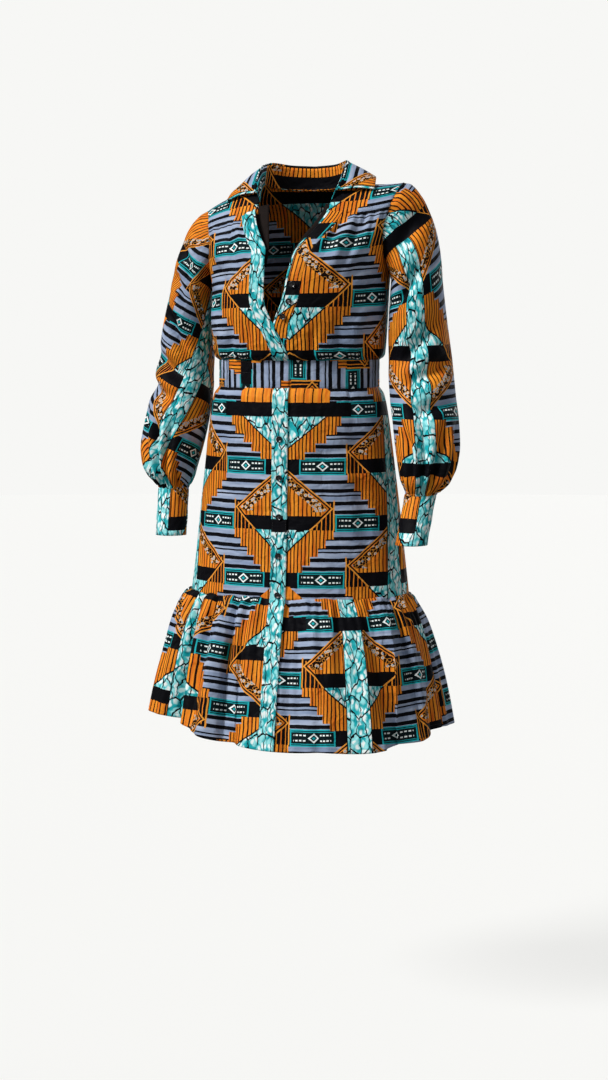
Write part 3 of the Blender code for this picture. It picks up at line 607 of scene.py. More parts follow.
def mirrored(points, places):
    """Left-side points sent to the side that each place's sign says."""
    sign = np.where(places < 0, -1.0, 1.0)
    return points * np.stack([sign, np.ones_like(sign), np.ones_like(sign)], axis=-1)


def collar_line(which, places):
    """The leaf's top or free edge, at places from -1 at the right front end to 1 at the left."""
    columns = [COLLAR[f"{which}_{axis}"](np.abs(places)) for axis in "xyz"]
    return mirrored(np.stack(columns, axis=-1), places)


# ---- the skirt's and flounce's surfaces ----

def body_ring(half_width, front_depth, back_depth, bearing):
    """A section of the skirt: bearing 0 is the centre front and 90 degrees the left side."""
    depth = np.where(np.cos(bearing) > 0, front_depth, back_depth)
    return half_width * np.sin(bearing), -depth * np.cos(bearing)


def skirt_points(z, bearing):
    """Points of the skirt at these heights and bearings."""
    z, bearing = np.broadcast_arrays(np.asarray(z, float), np.asarray(bearing, float))
    x, y = body_ring(*[SKIRT[name](z) for name in SKIRT_COLUMNS[1:]], bearing)
    return np.stack([x, y, z], axis=-1)


def folds(bearing):
    """The flounce's large folds at the hem: the sum of its troughs and ridges."""
    total = np.zeros_like(bearing)
    for centre, depth, width in FLOUNCE_FOLDS:
        away = (np.degrees(bearing) - centre + 180) % 360 - 180
        total -= depth * np.exp(-((away / width) ** 2))
    return total


def flounce_points(down, bearing):
    """Points of the flounce, from its seam (0) down to the hem (1)."""
    down, bearing = np.broadcast_arrays(np.asarray(down, float), np.asarray(bearing, float))
    x, y = body_ring(*[FLOUNCE[name](down) for name in FLOUNCE_COLUMNS[1:]], bearing)
    reach = np.hypot(x, y)
    scale = (reach + folds(bearing) * smoothstep(0.0, 1.0, down) ** FOLD_GROWTH) / reach
    hem = HEM["z"]((np.degrees(bearing) + 180) % 360 - 180)
    z = FLOUNCE_TOP - SEAM_GAP + (hem - FLOUNCE_TOP) * down
    return np.stack([x * scale, y * scale, z], axis=-1)


# ---- the sleeves' surfaces ----

def armhole(turn):
    """The armhole on the left side: turn 0 at the shoulder, pi/2 in front, pi under the arm."""
    turn = np.mod(turn, 2 * math.pi)
    front = turn <= math.pi
    part = np.where(front, turn, 2 * math.pi - turn) / math.pi
    level = 1.0 - (1.0 - ARMPIT) * part
    ahead = np.stack([FRONT[f"out_{axis}"](level) for axis in "xyz"], axis=-1)
    behind = np.stack([BACK[f"out_{axis}"](level) for axis in "xyz"], axis=-1)
    return np.where(front[..., None], ahead, behind)


def lean(z, side):
    """How far the arm has swung forward at this height."""
    part = np.clip((LEAN_START - z) / (LEAN_START - CUFF_BOTTOM), 0, 1)
    return ARM_LEAN[side] * part ** LEAN_CURVE


def sleeve_ring(z, turn, side):
    """A level ring of a sleeve: turn 0 on its outer line, pi/2 in front."""
    inner = SLEEVE["inner_x"](z) + ARM_SWING[side] * smoothstep(*SWING_HEIGHTS, z)
    outer = SLEEVE["outer_x"](z) + ARM_SWING[side]
    x = (inner + outer) / 2 + (outer - inner) / 2 * np.cos(turn)
    y = lean(z, side) + ARM_Y - SLEEVE["half_depth"](z) * np.sin(turn)
    return np.stack([x, y, np.broadcast_to(z, x.shape)], axis=-1)


def cap_row(part, turn, side):
    """A row of the sleeve's cap, from the armhole (0) to the first level ring (1)."""
    seam = armhole(turn)
    first = sleeve_ring(SLEEVE_SECTIONS[0][0], turn, side)
    top = (1 + np.cos(turn)) / 2 * CAP_FULLNESS[side]
    bend = math.sin(part * math.pi / 2)
    fall = 1 - math.cos(part * math.pi / 2)
    across = part + (bend - part) * top
    drop = part + (fall - part) * top
    return seam + (first - seam) * np.stack([across, across, drop], axis=-1)


def cuff_points(part, turn, side):
    """A deep fitted cuff, from its wrist edge (0) up to the sleeve seam (1)."""
    part, turn = np.broadcast_arrays(np.asarray(part, float), np.asarray(turn, float))
    z = CUFF_BOTTOM + (CUFF_TOP - SEAM_GAP - CUFF_BOTTOM) * part
    middle = CUFF_X + ARM_SWING[side] + CUFF_SLANT[side] * (1 - part)
    radius = CUFF_RADIUS - CUFF_TAPER * part
    x = middle + radius * np.cos(turn)
    y = lean(z, side) + ARM_Y - (radius - CUFF_FLAT) * np.sin(turn)
    return np.stack([x, y, z], axis=-1)


def turns_of(side, count):
    """Turns round an arm in a piece's column order, starting and ending under the arm."""
    turn = np.linspace(-math.pi, math.pi, count)
    return turn if side == "right" else -turn


# ---- colours and materials ----

def linear(code):
    """An sRGB hex colour as linear red, green, blue and alpha."""
    parts = [int(code[i:i + 2], 16) / 255 for i in (1, 3, 5)]
    return [p / 12.92 if p <= 0.04045 else ((p + 0.055) / 1.055) ** 2.4 for p in parts] + [1.0]


def add(tree, kind, inputs=(), output=0, **settings):
    """Adds a node with its settings, links or sets its inputs, and gives one of its outputs."""
    node = tree.nodes.new(kind)
    for name, value in settings.items():
        setattr(node, name, value)
    pairs = inputs.items() if isinstance(inputs, dict) else enumerate(inputs)
    for key, value in pairs:
        if isinstance(value, bpy.types.NodeSocket):
            tree.links.new(value, node.inputs[key])
        else:
            node.inputs[key].default_value = value
    return node.outputs[output] if node.outputs else None


def surface(tree, values):
    """The principled shader with these values or links, as the material's surface."""
    add(tree, "ShaderNodeOutputMaterial", (add(tree, "ShaderNodeBsdfPrincipled", values),))


def new_material(name):
    """An empty material with nodes."""
    made = bpy.data.materials.new(name)
    made.use_nodes = True
    made.node_tree.nodes.clear()
    return made


def wire(tree, made, rows):
    """Adds a table of sums: each row names its result, the operation, and its inputs. A product
    may have more than two."""
    for name, operation, *inputs in rows:
        values = [made[value] if isinstance(value, str) else value for value in inputs]
        while operation == "MULTIPLY" and len(values) > 2:
            values[:2] = [add(tree, "ShaderNodeMath", values[:2], operation=operation)]
        made[name] = add(tree, "ShaderNodeMath", values, operation=operation)


def painted(tree, made, colour, layers):
    """Paints layers over a colour in order: each is a mask's name, and a colour or its name."""
    colour = made[colour] if isinstance(colour, str) else colour
    for mask, over in layers:
        over = made[over] if isinstance(over, str) else over
        values = {"Factor": made[mask], 6: colour, 7: over}
        colour = add(tree, "ShaderNodeMix", values, output=2, data_type="RGBA")
    return colour


# The repeat of the print, in millimetres: columns of tall diamonds, each half a repeat lower than
# the last, with barred ground between them and, in every second column, a crackle trunk up the middle.
# Every second diamond of every fourth column is a broad one without outlines, whose black bar runs on
# over the panels.
REPEAT_WIDE = 216.0
REPEAT_TALL = 200.0
HALF_REPEAT = REPEAT_TALL / 2
BAR_PITCH = 15.56
PANEL_MIDDLE = 77.0
REPEAT_SUMS = (
    ("place", "DIVIDE", "u", REPEAT_WIDE),
    ("column", "ROUND", "place"),
    ("x", "MULTIPLY_ADD", "column", -REPEAT_WIDE, "u"),
    ("wide", "ABSOLUTE", "x"),
    ("odd", "FLOORED_MODULO", "column", 2.0),
    ("drop", "MULTIPLY_ADD", "odd", HALF_REPEAT, "v"),
    ("drop_tip", "ADD", "drop", 10.0),
    ("y_tip", "FLOORED_MODULO", "drop_tip", REPEAT_TALL),
    ("y", "SUBTRACT", "y_tip", 10.0),
    ("y_up", "ADD", "y", 50.0),
    ("y_wrap", "FLOORED_MODULO", "y_up", REPEAT_TALL),
    ("y_row", "SUBTRACT", "y_wrap", 50.0),
    ("half_wrap", "FLOORED_MODULO", "y_up", HALF_REPEAT),
    ("half_row", "SUBTRACT", "half_wrap", 50.0),
    ("half_off", "ABSOLUTE", "half_row"),
    ("row_at", "DIVIDE", "v", REPEAT_TALL),
    ("row", "FLOOR", "row_at"),
    ("row_odd", "FLOORED_MODULO", "row", 2.0),
    ("broad_row", "SUBTRACT", 1.0, "row_odd"),
    ("four", "FLOORED_MODULO", "column", 4.0),
    ("broad_column", "LESS_THAN", "four", 0.5),
    ("broad", "MULTIPLY", "broad_row", "broad_column"),
    ("fine", "SUBTRACT", 1.0, "broad"),
    # The diamond's outline widens to its side tips and narrows again.
    ("widest", "MULTIPLY_ADD", "broad", -200.0, 288.0),
    ("growing", "MULTIPLY_ADD", "y", 1.15, 9.0),
    ("widening", "MINIMUM", "growing", "widest"),
    ("foot", "MULTIPLY_ADD", "broad", 43.0, 169.0),
    ("slope", "MULTIPLY_ADD", "broad", -0.15, -1.0),
    ("narrowing", "MULTIPLY_ADD", "slope", "y", "foot"),
    ("outline", "MINIMUM", "widening", "narrowing"),
    ("inside", "LESS_THAN", "wide", "outline"),
    ("outside", "SUBTRACT", 1.0, "inside"),
    # The stepped outer edge of the lower band.
    ("below_bar_at", "SUBTRACT", "y", 112.5),
    ("step_at", "DIVIDE", "below_bar_at", BAR_PITCH),
    ("step_number", "FLOOR", "step_at"),
    ("step_wide", "MULTIPLY_ADD", "broad", -5.0, -13.0),
    ("step_top", "MULTIPLY_ADD", "broad", 22.0, 97.0),
    ("stairs", "MULTIPLY_ADD", "step_number", "step_wide", "step_top"),
    ("within_stairs", "LESS_THAN", "wide", "stairs"),
    # Regions.
    ("above_bar", "LESS_THAN", "y", 87.5),
    ("upper", "MULTIPLY", "inside", "above_bar"),
    ("bar_rows", "COMPARE", "y", 100.0, 12.5),
    ("bar_inside", "MULTIPLY", "inside", "bar_rows"),
    ("bar_broad", "MULTIPLY", "broad", "bar_rows"),
    ("bar", "MAXIMUM", "bar_inside", "bar_broad"),
    ("below_bar", "GREATER_THAN", "y", 112.5),
    ("lower", "MULTIPLY", "inside", "below_bar"),
    ("band_rows", "COMPARE", "y", 150.0, 37.5),
    ("band", "MULTIPLY", "within_stairs", "band_rows", "outside"),
    ("harp_rows", "COMPARE", "y", 89.0, 23.5),
    ("harp_wide", "LESS_THAN", "wide", 97.0),
    ("harp", "MULTIPLY", "harp_rows", "harp_wide", "fine", "outside"),
    ("cross_rows", "COMPARE", "y_row", 0.0, 12.5),
    ("block_wide", "LESS_THAN", "wide", 36.0),
    ("block", "MULTIPLY", "cross_rows", "block_wide"),
    ("cover_wide", "GREATER_THAN", "wide", 90.0),
    ("side", "SIGN", "x"),
    ("next_column", "ADD", "column", "side"),
    ("next_four", "FLOORED_MODULO", "next_column", 4.0),
    ("next_broad", "LESS_THAN", "next_four", 0.5),
    ("cover", "MULTIPLY", "cross_rows", "cover_wide", "next_broad", "broad_row"),
    ("trunk_edge", "LESS_THAN", "wide", 19.0),
    ("trunk", "MULTIPLY", "trunk_edge", "odd"),
    ("trunk_side", "COMPARE", "wide", 19.6, 0.8),
    ("trunk_line", "MULTIPLY", "trunk_side", "odd"),
    # Over half of the trunks every second block is printed, and over the others every second bar.
    ("block_column", "COMPARE", "four", 1.0, 0.5),
    ("block_over", "MULTIPLY", "block", "block_column", "broad_row"),
    ("bar_row_at", "DIVIDE", "drop_tip", REPEAT_TALL),
    ("bar_row", "FLOOR", "bar_row_at"),
    ("bar_row_odd", "FLOORED_MODULO", "bar_row", 2.0),
    ("bar_column", "COMPARE", "four", 3.0, 0.5),
    ("bar_over", "MULTIPLY", "bar", "bar_column", "bar_row_odd"),
    # Ground bars, pinstripes, harp strings and the lines along the outline.
    ("bar_start", "SUBTRACT", "half_wrap", 65.0),
    ("bar_phase", "FLOORED_MODULO", "bar_start", BAR_PITCH),
    ("bar_light", "LESS_THAN", "bar_phase", 8.8),
    ("bar_clear", "GREATER_THAN", "half_off", 15.0),
    ("ground_bar", "MULTIPLY", "bar_light", "bar_clear"),
    ("broad_above", "MULTIPLY", "broad", "above_bar"),
    ("pitch_lower", "MULTIPLY_ADD", "below_bar", -1.2, 7.4),
    ("pitch", "MULTIPLY_ADD", "broad_above", 7.4, "pitch_lower"),
    ("stripe_at", "ADD", "wide", 1.1),
    ("stripe_phase", "FLOORED_MODULO", "stripe_at", "pitch"),
    ("stripe_line", "LESS_THAN", "stripe_phase", 2.1),
    ("string_phase", "FLOORED_MODULO", "wide", 7.5),
    ("string", "LESS_THAN", "string_phase", 1.7),
    ("string_here", "MULTIPLY", "string", "harp"),
    ("on_outline", "COMPARE", "wide", "outline", 1.7),
    ("bright_rows", "LESS_THAN", "y", 112.5),
    ("outline_bright", "MULTIPLY", "on_outline", "bright_rows", "fine"),
    ("dark_rows", "COMPARE", "y", 149.0, 37.0),
    ("outline_dark", "MULTIPLY", "on_outline", "dark_rows"),
    ("upper_fine", "MULTIPLY", "upper", "fine"),
    ("second_at", "SUBTRACT", "outline", 7.0),
    ("on_second", "COMPARE", "wide", "second_at", 1.3),
    ("second_line", "MULTIPLY", "on_second", "upper_fine"),
    ("between_at", "SUBTRACT", "outline", 4.0),
    ("between_lines", "COMPARE", "wide", "between_at", 3.0),
    ("line_bed", "MULTIPLY", "between_lines", "upper_fine"),
    ("pebble_at", "SUBTRACT", "outline", 19.0),
    ("pebble_edge", "COMPARE", "wide", "pebble_at", 11.0),
    ("pebble_rows", "LESS_THAN", "y", 80.0),
    ("pebble_strip", "MULTIPLY", "pebble_edge", "pebble_rows", "fine"),
    ("upright", "COMPARE", "wide", 97.0, 1.2),
    ("upright_rows", "COMPARE", "y", 86.0, 26.5),
    ("upright_line", "MULTIPLY", "upright", "upright_rows", "fine"),
    # The panel between two columns: a frame, an eye in its middle and dashes each side. Its far end
    # reaches into the next column's cell, where distance is measured from that column instead.
    ("next_rows", "COMPARE", "y", 100.0, 50.0),
    ("next_far", "MULTIPLY_ADD", "wide", -2.0, REPEAT_WIDE),
    ("panel_at", "MULTIPLY_ADD", "next_far", "next_rows", "wide"),
    ("panel_x", "SUBTRACT", "panel_at", PANEL_MIDDLE),
    ("panel_off", "ABSOLUTE", "panel_x"),
    ("panel_high", "LESS_THAN", "half_off", 15.0),
    ("panel_wide", "LESS_THAN", "panel_off", 39.5),
    ("panel", "MULTIPLY", "panel_wide", "panel_high"),
    ("core_wide", "LESS_THAN", "panel_off", 37.2),
    ("core_high", "LESS_THAN", "half_off", 12.7),
    ("panel_core", "MULTIPLY", "core_wide", "core_high"),
    ("rule", "COMPARE", "half_off", 10.4, 0.6),
    ("panel_rule", "MULTIPLY", "rule", "panel_core"),
    ("eye_x", "MULTIPLY", "panel_off", 0.105),
    ("eye_y", "MULTIPLY", "half_off", 0.125),
    ("eye_far", "ADD", "eye_x", "eye_y"),
    ("eye_ring", "COMPARE", "eye_far", 0.88, 0.20),
    ("eye_core", "LESS_THAN", "eye_far", 0.36),
    ("dash_phase", "FLOORED_MODULO", "panel_off", 6.4),
    ("dash_on", "LESS_THAN", "dash_phase", 4.0),
    ("dash_rows", "COMPARE", "half_off", 4.6, 1.3),
    ("dash_place", "COMPARE", "panel_off", 23.0, 10.0),
    ("dash", "MULTIPLY", "dash_on", "dash_rows", "dash_place"),
)
# How far the print's lines wander from side to side, in millimetres.
WOBBLE = 1.6
# On the plackets one black bar crosses the trunk: its middle and half its height, in millimetres.
TRUNK_BAR = (593.0, 11.5)
# The threads are 0.35 mm apart; the weave is drawn at 1.2 mm so that it shows at all.
WEAVE_DRAWN = 1.2


def cloth_places(tree, made):
    """The piece's own cloth coordinates in millimetres, a little uneven as hand-blocked wax is."""
    uv = add(tree, "ShaderNodeUVMap", uv_map=UV_NAME)
    scaled = add(tree, "ShaderNodeVectorMath", (uv, (1000.0,) * 3), operation="MULTIPLY")
    noise = add(tree, "ShaderNodeTexNoise", {"Vector": scaled, "Scale": 0.045, "Detail": 1.0},
                output=1, noise_dimensions="2D")
    shift = add(tree, "ShaderNodeVectorMath", (noise, (0.5,) * 3), operation="SUBTRACT")
    moved = add(tree, "ShaderNodeVectorMath", (shift, (WOBBLE,) * 3, scaled),
                operation="MULTIPLY_ADD")
    made["u"] = add(tree, "ShaderNodeSeparateXYZ", (moved,))
    made["v"] = made["u"].node.outputs[1]
    made["cloth"] = moved


def crackle(tree, made, colours):
    """Teal ground with pale wax bubbles and dark crackle veins."""
    warp = add(tree, "ShaderNodeTexNoise", {"Vector": made["cloth"], "Scale": 0.06, "Detail": 2.0},
               output=1, noise_dimensions="2D")
    bent = add(tree, "ShaderNodeVectorMath", (warp, (9.0,) * 3, made["cloth"]),
               operation="MULTIPLY_ADD")
    spots = add(tree, "ShaderNodeVectorMath", (bent, (0.150, 0.088, 1.0)), operation="MULTIPLY")
    made["bubble_far"] = add(tree, "ShaderNodeTexVoronoi", {"Vector": spots, "Scale": 1.0},
                             voronoi_dimensions="2D")
    made["chance"] = add(tree, "ShaderNodeSeparateColor", (made["bubble_far"].node.outputs[1],))
    long_cells = add(tree, "ShaderNodeVectorMath", (bent, (0.078, 0.030, 1.0)),
                     operation="MULTIPLY")
    made["vein_far"] = add(tree, "ShaderNodeTexVoronoi", {"Vector": long_cells, "Scale": 1.0},
                           voronoi_dimensions="2D", feature="DISTANCE_TO_EDGE")
    streaked = add(tree, "ShaderNodeVectorMath", (bent, (0.100, 0.040, 1.0)), operation="MULTIPLY")
    made["mottle"] = add(tree, "ShaderNodeTexNoise",
                         {"Vector": streaked, "Scale": 1.0, "Detail": 3.0},
                         noise_dimensions="2D")
    wire(tree, made, (
        ("bubble_soft", "MULTIPLY_ADD", "bubble_far", -3.2, 2.05),
        ("bubble_picked", "GREATER_THAN", "chance", 0.16),
        ("bubble", "MULTIPLY", "bubble_soft", "bubble_picked"),
        ("white_soft", "MULTIPLY_ADD", "bubble_far", -3.8, 1.95),
        ("white_picked", "GREATER_THAN", "chance", 0.52),
        ("white_spot", "MULTIPLY", "white_soft", "white_picked"),
        ("vein", "LESS_THAN", "vein_far", 0.050),
        ("deep_soft", "MULTIPLY_ADD", "mottle", -6.0, 2.75),
        ("light_soft", "MULTIPLY_ADD", "mottle", 5.0, -2.6),
    ))
    made["teal_crackle"] = painted(tree, made, colours["teal"], (
        ("deep_soft", colours["deep_teal"]),
        ("light_soft", colours["pale_teal"]),
        ("bubble", colours["pale_teal"]),
        ("white_spot", colours["white"]),
        ("vein", colours["black"]),
    ))


def cotton_finish(tree, colour, made, roughness):
    """The cloth's surface: plain weave and small soft wrinkles under the colour."""
    wire(tree, made, (
        ("thread_u", "MULTIPLY", "u", 2 * math.pi / WEAVE_DRAWN),
        ("thread_v", "MULTIPLY", "v", 2 * math.pi / WEAVE_DRAWN),
        ("weft", "SINE", "thread_u"),
        ("warp", "SINE", "thread_v"),
        ("weave", "MULTIPLY", "weft", "warp"),
    ))
    wrinkle = add(tree, "ShaderNodeTexNoise",
                  {"Vector": made["cloth"], "Scale": 0.035, "Detail": 4.0, "Distortion": 0.6},
                  noise_dimensions="2D")
    soft = add(tree, "ShaderNodeBump", {"Strength": 0.80, "Distance": 0.0048, "Height": wrinkle})
    woven = add(tree, "ShaderNodeBump",
                {"Strength": 0.16, "Distance": 0.0002, "Height": made["weave"], "Normal": soft})
    surface(tree, {"Base Color": colour, "Roughness": roughness, "Specular IOR Level": 0.07,
                   "Sheen Weight": 0.01, "Sheen Roughness": 0.4, "Normal": woven})


def wax_print_cotton(colours):
    """Wax-printed cotton, plain woven and washed: a smooth, nearly matt cloth whose colours are
    crisp, with small unevenness where the wax blocks and dye baths meet."""
    finish = new_material("wax_print_cotton")
    tree, made = finish.node_tree, {}
    cloth_places(tree, made)
    wire(tree, made, REPEAT_SUMS)
    crackle(tree, made, colours)
    # The ground is streaked across and the orange is shaded down.
    for name, scales, detail in (("streak", (0.010, 0.10, 1.0), 3.0), ("shade", (0.15, 0.012, 1.0), 2.0)):
        place = add(tree, "ShaderNodeVectorMath", (made["cloth"], scales), operation="MULTIPLY")
        made[name] = add(tree, "ShaderNodeTexNoise",
                         {"Vector": place, "Scale": 1.0, "Detail": detail}, noise_dimensions="2D")
    made["stone_far"] = add(tree, "ShaderNodeTexVoronoi", {"Vector": made["cloth"], "Scale": 0.16},
                            voronoi_dimensions="2D")
    made["stone_chance"] = add(tree, "ShaderNodeSeparateColor",
                               (made["stone_far"].node.outputs[1],))
    wire(tree, made, (
        ("streak_on", "MULTIPLY_ADD", "streak", 2.2, -0.75),
        ("shade_on", "MULTIPLY_ADD", "shade", 2.4, -0.85),
        ("stone", "LESS_THAN", "stone_far", 0.40),
        ("stone_rim", "LESS_THAN", "stone_far", 0.52),
        ("stone_pale", "GREATER_THAN", "stone_chance", 0.45),
        ("stone_light", "MULTIPLY", "stone", "stone_pale"),
        ("stone_in", "LESS_THAN", "stone_far", 0.20),
        ("stone_hole", "MULTIPLY", "stone_in", "stone_light"),
    ))
    for name, base, mask, over in (
        ("ground", colours["grey_blue"], "streak_on", "lavender"),
        ("orange_cloth", colours["orange"], "shade_on", "deep_orange"),
        ("pinstripe", "orange_cloth", "stripe_line", "brown_black"),
    ):
        made[name] = painted(tree, made, base, ((mask, colours[over]),))
    made["pebbles"] = painted(tree, made, colours["brown_black"], (
        ("stone_rim", colours["tan"]),
        ("stone", colours["brown_black"]),
        ("stone_light", colours["pebble"]),
        ("stone_hole", colours["grey_blue"]),
    ))
    made["panel_colours"] = painted(tree, made, colours["teal"], (
        ("panel_core", colours["deep_green"]),
        ("panel_rule", colours["teal"]),
        ("dash", colours["white"]),
        ("eye_ring", colours["white"]),
        ("eye_core", colours["teal"]),
    ))
    black = colours["black"]
    colour = painted(tree, made, black, (
        ("ground_bar", "ground"),
        ("panel", "panel_colours"),
        ("band", "pinstripe"),
        ("harp", black),
        ("string_here", "orange_cloth"),
        ("lower", "teal_crackle"),
        ("bar", black),
        ("upper", "pinstripe"),
        ("pebble_strip", "pebbles"),
        ("line_bed", black),
        ("second_line", "orange_cloth"),
        ("block", black),
        ("cover", black),
        ("outline_dark", black),
        ("outline_bright", colours["tan"]),
        ("upright_line", colours["tan"]),
        ("trunk", "teal_crackle"),
        ("trunk_line", black),
        ("bar_over", black),
        ("block_over", black),
    ))
    cotton_finish(tree, colour, made, 0.60)
    return finish


def teal_print_cotton(colours):
    """The same wax-printed cotton cut along its crackle trunk: pale wax bubbles, dark veins."""
    finish = new_material("teal_print_cotton")
    tree, made = finish.node_tree, {}
    cloth_places(tree, made)
    wire(tree, made, (("cross", "COMPARE", "v", *TRUNK_BAR),))
    crackle(tree, made, colours)
    colour = painted(tree, made, "teal_crackle", (("cross", colours["black"]),))
    cotton_finish(tree, colour, made, 0.60)
    return finish


def dark_facing_cotton(colours):
    """Plain dyed cotton facing: nearly black brown, matt, with a faint weave and fade."""
    finish = new_material("dark_facing_cotton")
    tree, made = finish.node_tree, {}
    cloth_places(tree, made)
    made["fade"] = add(tree, "ShaderNodeTexNoise",
                       {"Vector": made["cloth"], "Scale": 0.05, "Detail": 3.0},
                       noise_dimensions="2D")
    wire(tree, made, (("faded", "MULTIPLY", "fade", 0.5),))
    colour = painted(tree, made, colours["facing"], (("faded", colours["facing_fade"]),))
    cotton_finish(tree, colour, made, 0.75)
    return finish


def black_polyester(colours):
    """Cast polyester resin, turned and polished: glossy black with faint grey clouding."""
    finish = new_material("black_button_polyester")
    tree = finish.node_tree
    place = add(tree, "ShaderNodeTexCoord", output=3)
    # Clouding 4 mm across, with scratches 0.3 mm apart that only break the shine.
    cloud = add(tree, "ShaderNodeTexNoise", {"Vector": place, "Scale": 250.0, "Detail": 2.0})
    fine = add(tree, "ShaderNodeTexNoise", {"Vector": place, "Scale": 3000.0, "Detail": 2.0})
    colour = add(tree, "ShaderNodeMix",
                 {"Factor": cloud, 6: colours["button"], 7: colours["button_cloud"]},
                 output=2, data_type="RGBA")
    rough = add(tree, "ShaderNodeMapRange", {"Value": fine, "To Min": 0.16, "To Max": 0.30})
    surface(tree, {"Base Color": colour, "Roughness": rough, "IOR": 1.55})
    return finish


def polyester_thread(colours):
    """Spun polyester sewing thread, two plies: soft sheen; painted shade in the twist's grooves."""
    finish = new_material("spun_polyester_thread")
    tree = finish.node_tree
    place = add(tree, "ShaderNodeTexCoord", output=3)
    # The twist repeats every 0.5 mm along the thread.
    ply = add(tree, "ShaderNodeTexNoise", {"Vector": place, "Scale": 2000.0, "Detail": 1.0})
    # Painted light: the colour follows the bump, lighter on the raised ply as a painted highlight and
    # darker in the grooves as painted shade.
    colour = add(tree, "ShaderNodeMix",
                 {"Factor": ply, 6: colours["thread"], 7: colours["thread_light"]},
                 output=2, data_type="RGBA")
    bump = add(tree, "ShaderNodeBump", {"Strength": 0.3, "Distance": 0.0001, "Height": ply})
    surface(tree, {"Base Color": colour, "Roughness": 0.55, "Sheen Weight": 0.2, "Normal": bump})
    return finish


def studio_paint(colours):
    """Matt emulsion on a studio floor, rolled on: a mid grey with a faint roller stipple, which its
    own lights wash out to the backdrop's pale tone."""
    finish = new_material("matt_studio_paint")
    tree = finish.node_tree
    place = add(tree, "ShaderNodeTexCoord", output=3)
    # The stipple of a roller is about 3 mm; it is drawn at 16 mm, which is as fine as shows.
    roller = add(tree, "ShaderNodeTexNoise", {"Vector": place, "Scale": 60.0, "Detail": 2.0})
    bump = add(tree, "ShaderNodeBump", {"Strength": 0.05, "Distance": 0.001, "Height": roller})
    # Lights of its own wash the floor out, so that only a faint shadow lies on it.
    washed = add(tree, "ShaderNodeMath", (add(tree, "ShaderNodeLightPath"), 0.81),
                 operation="MULTIPLY")
    surface(tree, {"Base Color": colours["floor"], "Roughness": 0.85, "Normal": bump,
                   "Emission Color": colours["backdrop"], "Emission Strength": washed})
    return finish


# ---- making cloth ----

UV_NAME = "cloth"
# At a sewn edge the cloth turns in under its seam, this far along and this deep.
TUCK_REACH = 0.0022
TUCK_DEPTH = 0.0016
# How thick a doubled piece is, in single cloths.
DOUBLED = 1.5
# The materials by name, and each piece's smooth outer face, where its stitching runs.
FINISHES = {}
SURFACES = {}


def axis_of(side):
    """The axis of a grid that runs from one such side to the other: low and high, start and end."""
    return 0 if side in ("low", "high") else 1


def free_of(grid, sides, reach=0.012):
    """How free each place of a grid is to move: 0 at the sewn edges named and 1 away from them."""
    free = np.ones(grid.shape[:2])
    for side in sides:
        run = lengths(grid, axis_of(side))
        if side in ("high", "end"):
            run = np.take(run, [-1], axis_of(side)) - run
        free *= smoothstep(0, reach, run)
    return free


def tucked(grid, uv, sides, closed):
    """The grid with one more row or column at each sewn edge, turned in under the seam."""
    normals = normals_of(grid, closed)
    for side in sides:
        axis = axis_of(side)
        edge, inner = (-1, -2) if side in ("high", "end") else (0, 1)
        step = np.take(grid, [edge], axis) - np.take(grid, [inner], axis)
        size = np.linalg.norm(step, axis=-1, keepdims=True)
        outward = np.take(normals, [edge], axis)
        more = np.take(grid, [edge], axis) + step / size * TUCK_REACH - outward * TUCK_DEPTH
        slide = np.take(uv, [edge], axis) - np.take(uv, [inner], axis)
        more_uv = np.take(uv, [edge], axis) + slide * TUCK_REACH / size.mean()
        pairs = ((grid, more), (uv, more_uv), (normals, outward))
        grid, uv, normals = [np.concatenate([old, new] if edge else [new, old], axis)
                             for old, new in pairs]
    return grid, uv


def cloth_mesh(name, points, uv, closed):
    """Quads on a grid of points; uv has one more column where the grid closes on itself."""
    rows, columns = points.shape[:2]
    low = np.arange(rows - 1)[:, None] * columns
    here = np.arange(columns if closed else columns - 1)[None]
    beside = (here + 1) % columns
    corners = np.stack([low + here, low + beside, low + columns + beside, low + columns + here],
                       axis=-1)
    mesh = bpy.data.meshes.new(name)
    mesh.from_pydata(points.reshape(-1, 3).tolist(), [], corners.reshape(-1, 4).tolist())
    place = np.stack([uv[:-1, :-1], uv[:-1, 1:], uv[1:, 1:], uv[1:, :-1]], axis=2)
    mesh.uv_layers.new(name=UV_NAME).data.foreach_set("uv", place.ravel())
    mesh.shade_smooth()
    return mesh


def new_piece(name, mesh, finish, nodes=()):
    """Puts a mesh in the scene as a piece of the dress."""
    mesh.materials.append(finish)
    made = bpy.data.objects.new(name, mesh)
    bpy.context.scene.collection.objects.link(made)
    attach(made, "root")
    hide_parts(*nodes)
    return made


def make_cloth(node, grid, uv, out=0.0, seams=(), closed=False, layers=1.0,
               slot="wax_print_cotton"):
    """One cut piece of cloth in place of its CAD solid.

    The grid is its outer face before its creases; out says how far they stand out, seams which
    of its edges are sewn, and layers how much thicker than one cloth it is.
    """
    grid = moved_out(grid, np.broadcast_to(out, grid.shape[:2]), closed)
    SURFACES[node] = posed(grid)
    across, down, turned_by, wider = PLACES.get(node, (0.0, 0.0, 0, 1.0))
    sine, cosine = math.sin(math.radians(turned_by)), math.cos(math.radians(turned_by))
    uv = (uv - np.array([across, down])) @ np.array([[cosine, -sine], [sine, cosine]])
    uv = uv / np.array([wider, 1.0])
    whole, uv = tucked(grid, uv, seams, closed)
    mesh = cloth_mesh(f"{node}_cloth", posed(whole), uv, closed)
    made = new_piece(f"{node}_cloth", mesh, FINISHES[slot], [node])
    wall = made.modifiers.new("thickness", "SOLIDIFY")
    wall.thickness = bpy.context.scene.dress_sizes.cloth_thickness * layers
    wall.offset = -1
    # The cut lies flat as wide as its longest row and as long as its longest column.
    ring = np.concatenate([grid, grid[:, :1]], axis=1) if closed else grid
    flat = (float(lengths(ring, 1)[:, -1].max()), float(lengths(ring, 0)[-1].max()))


# ---- the bodice ----

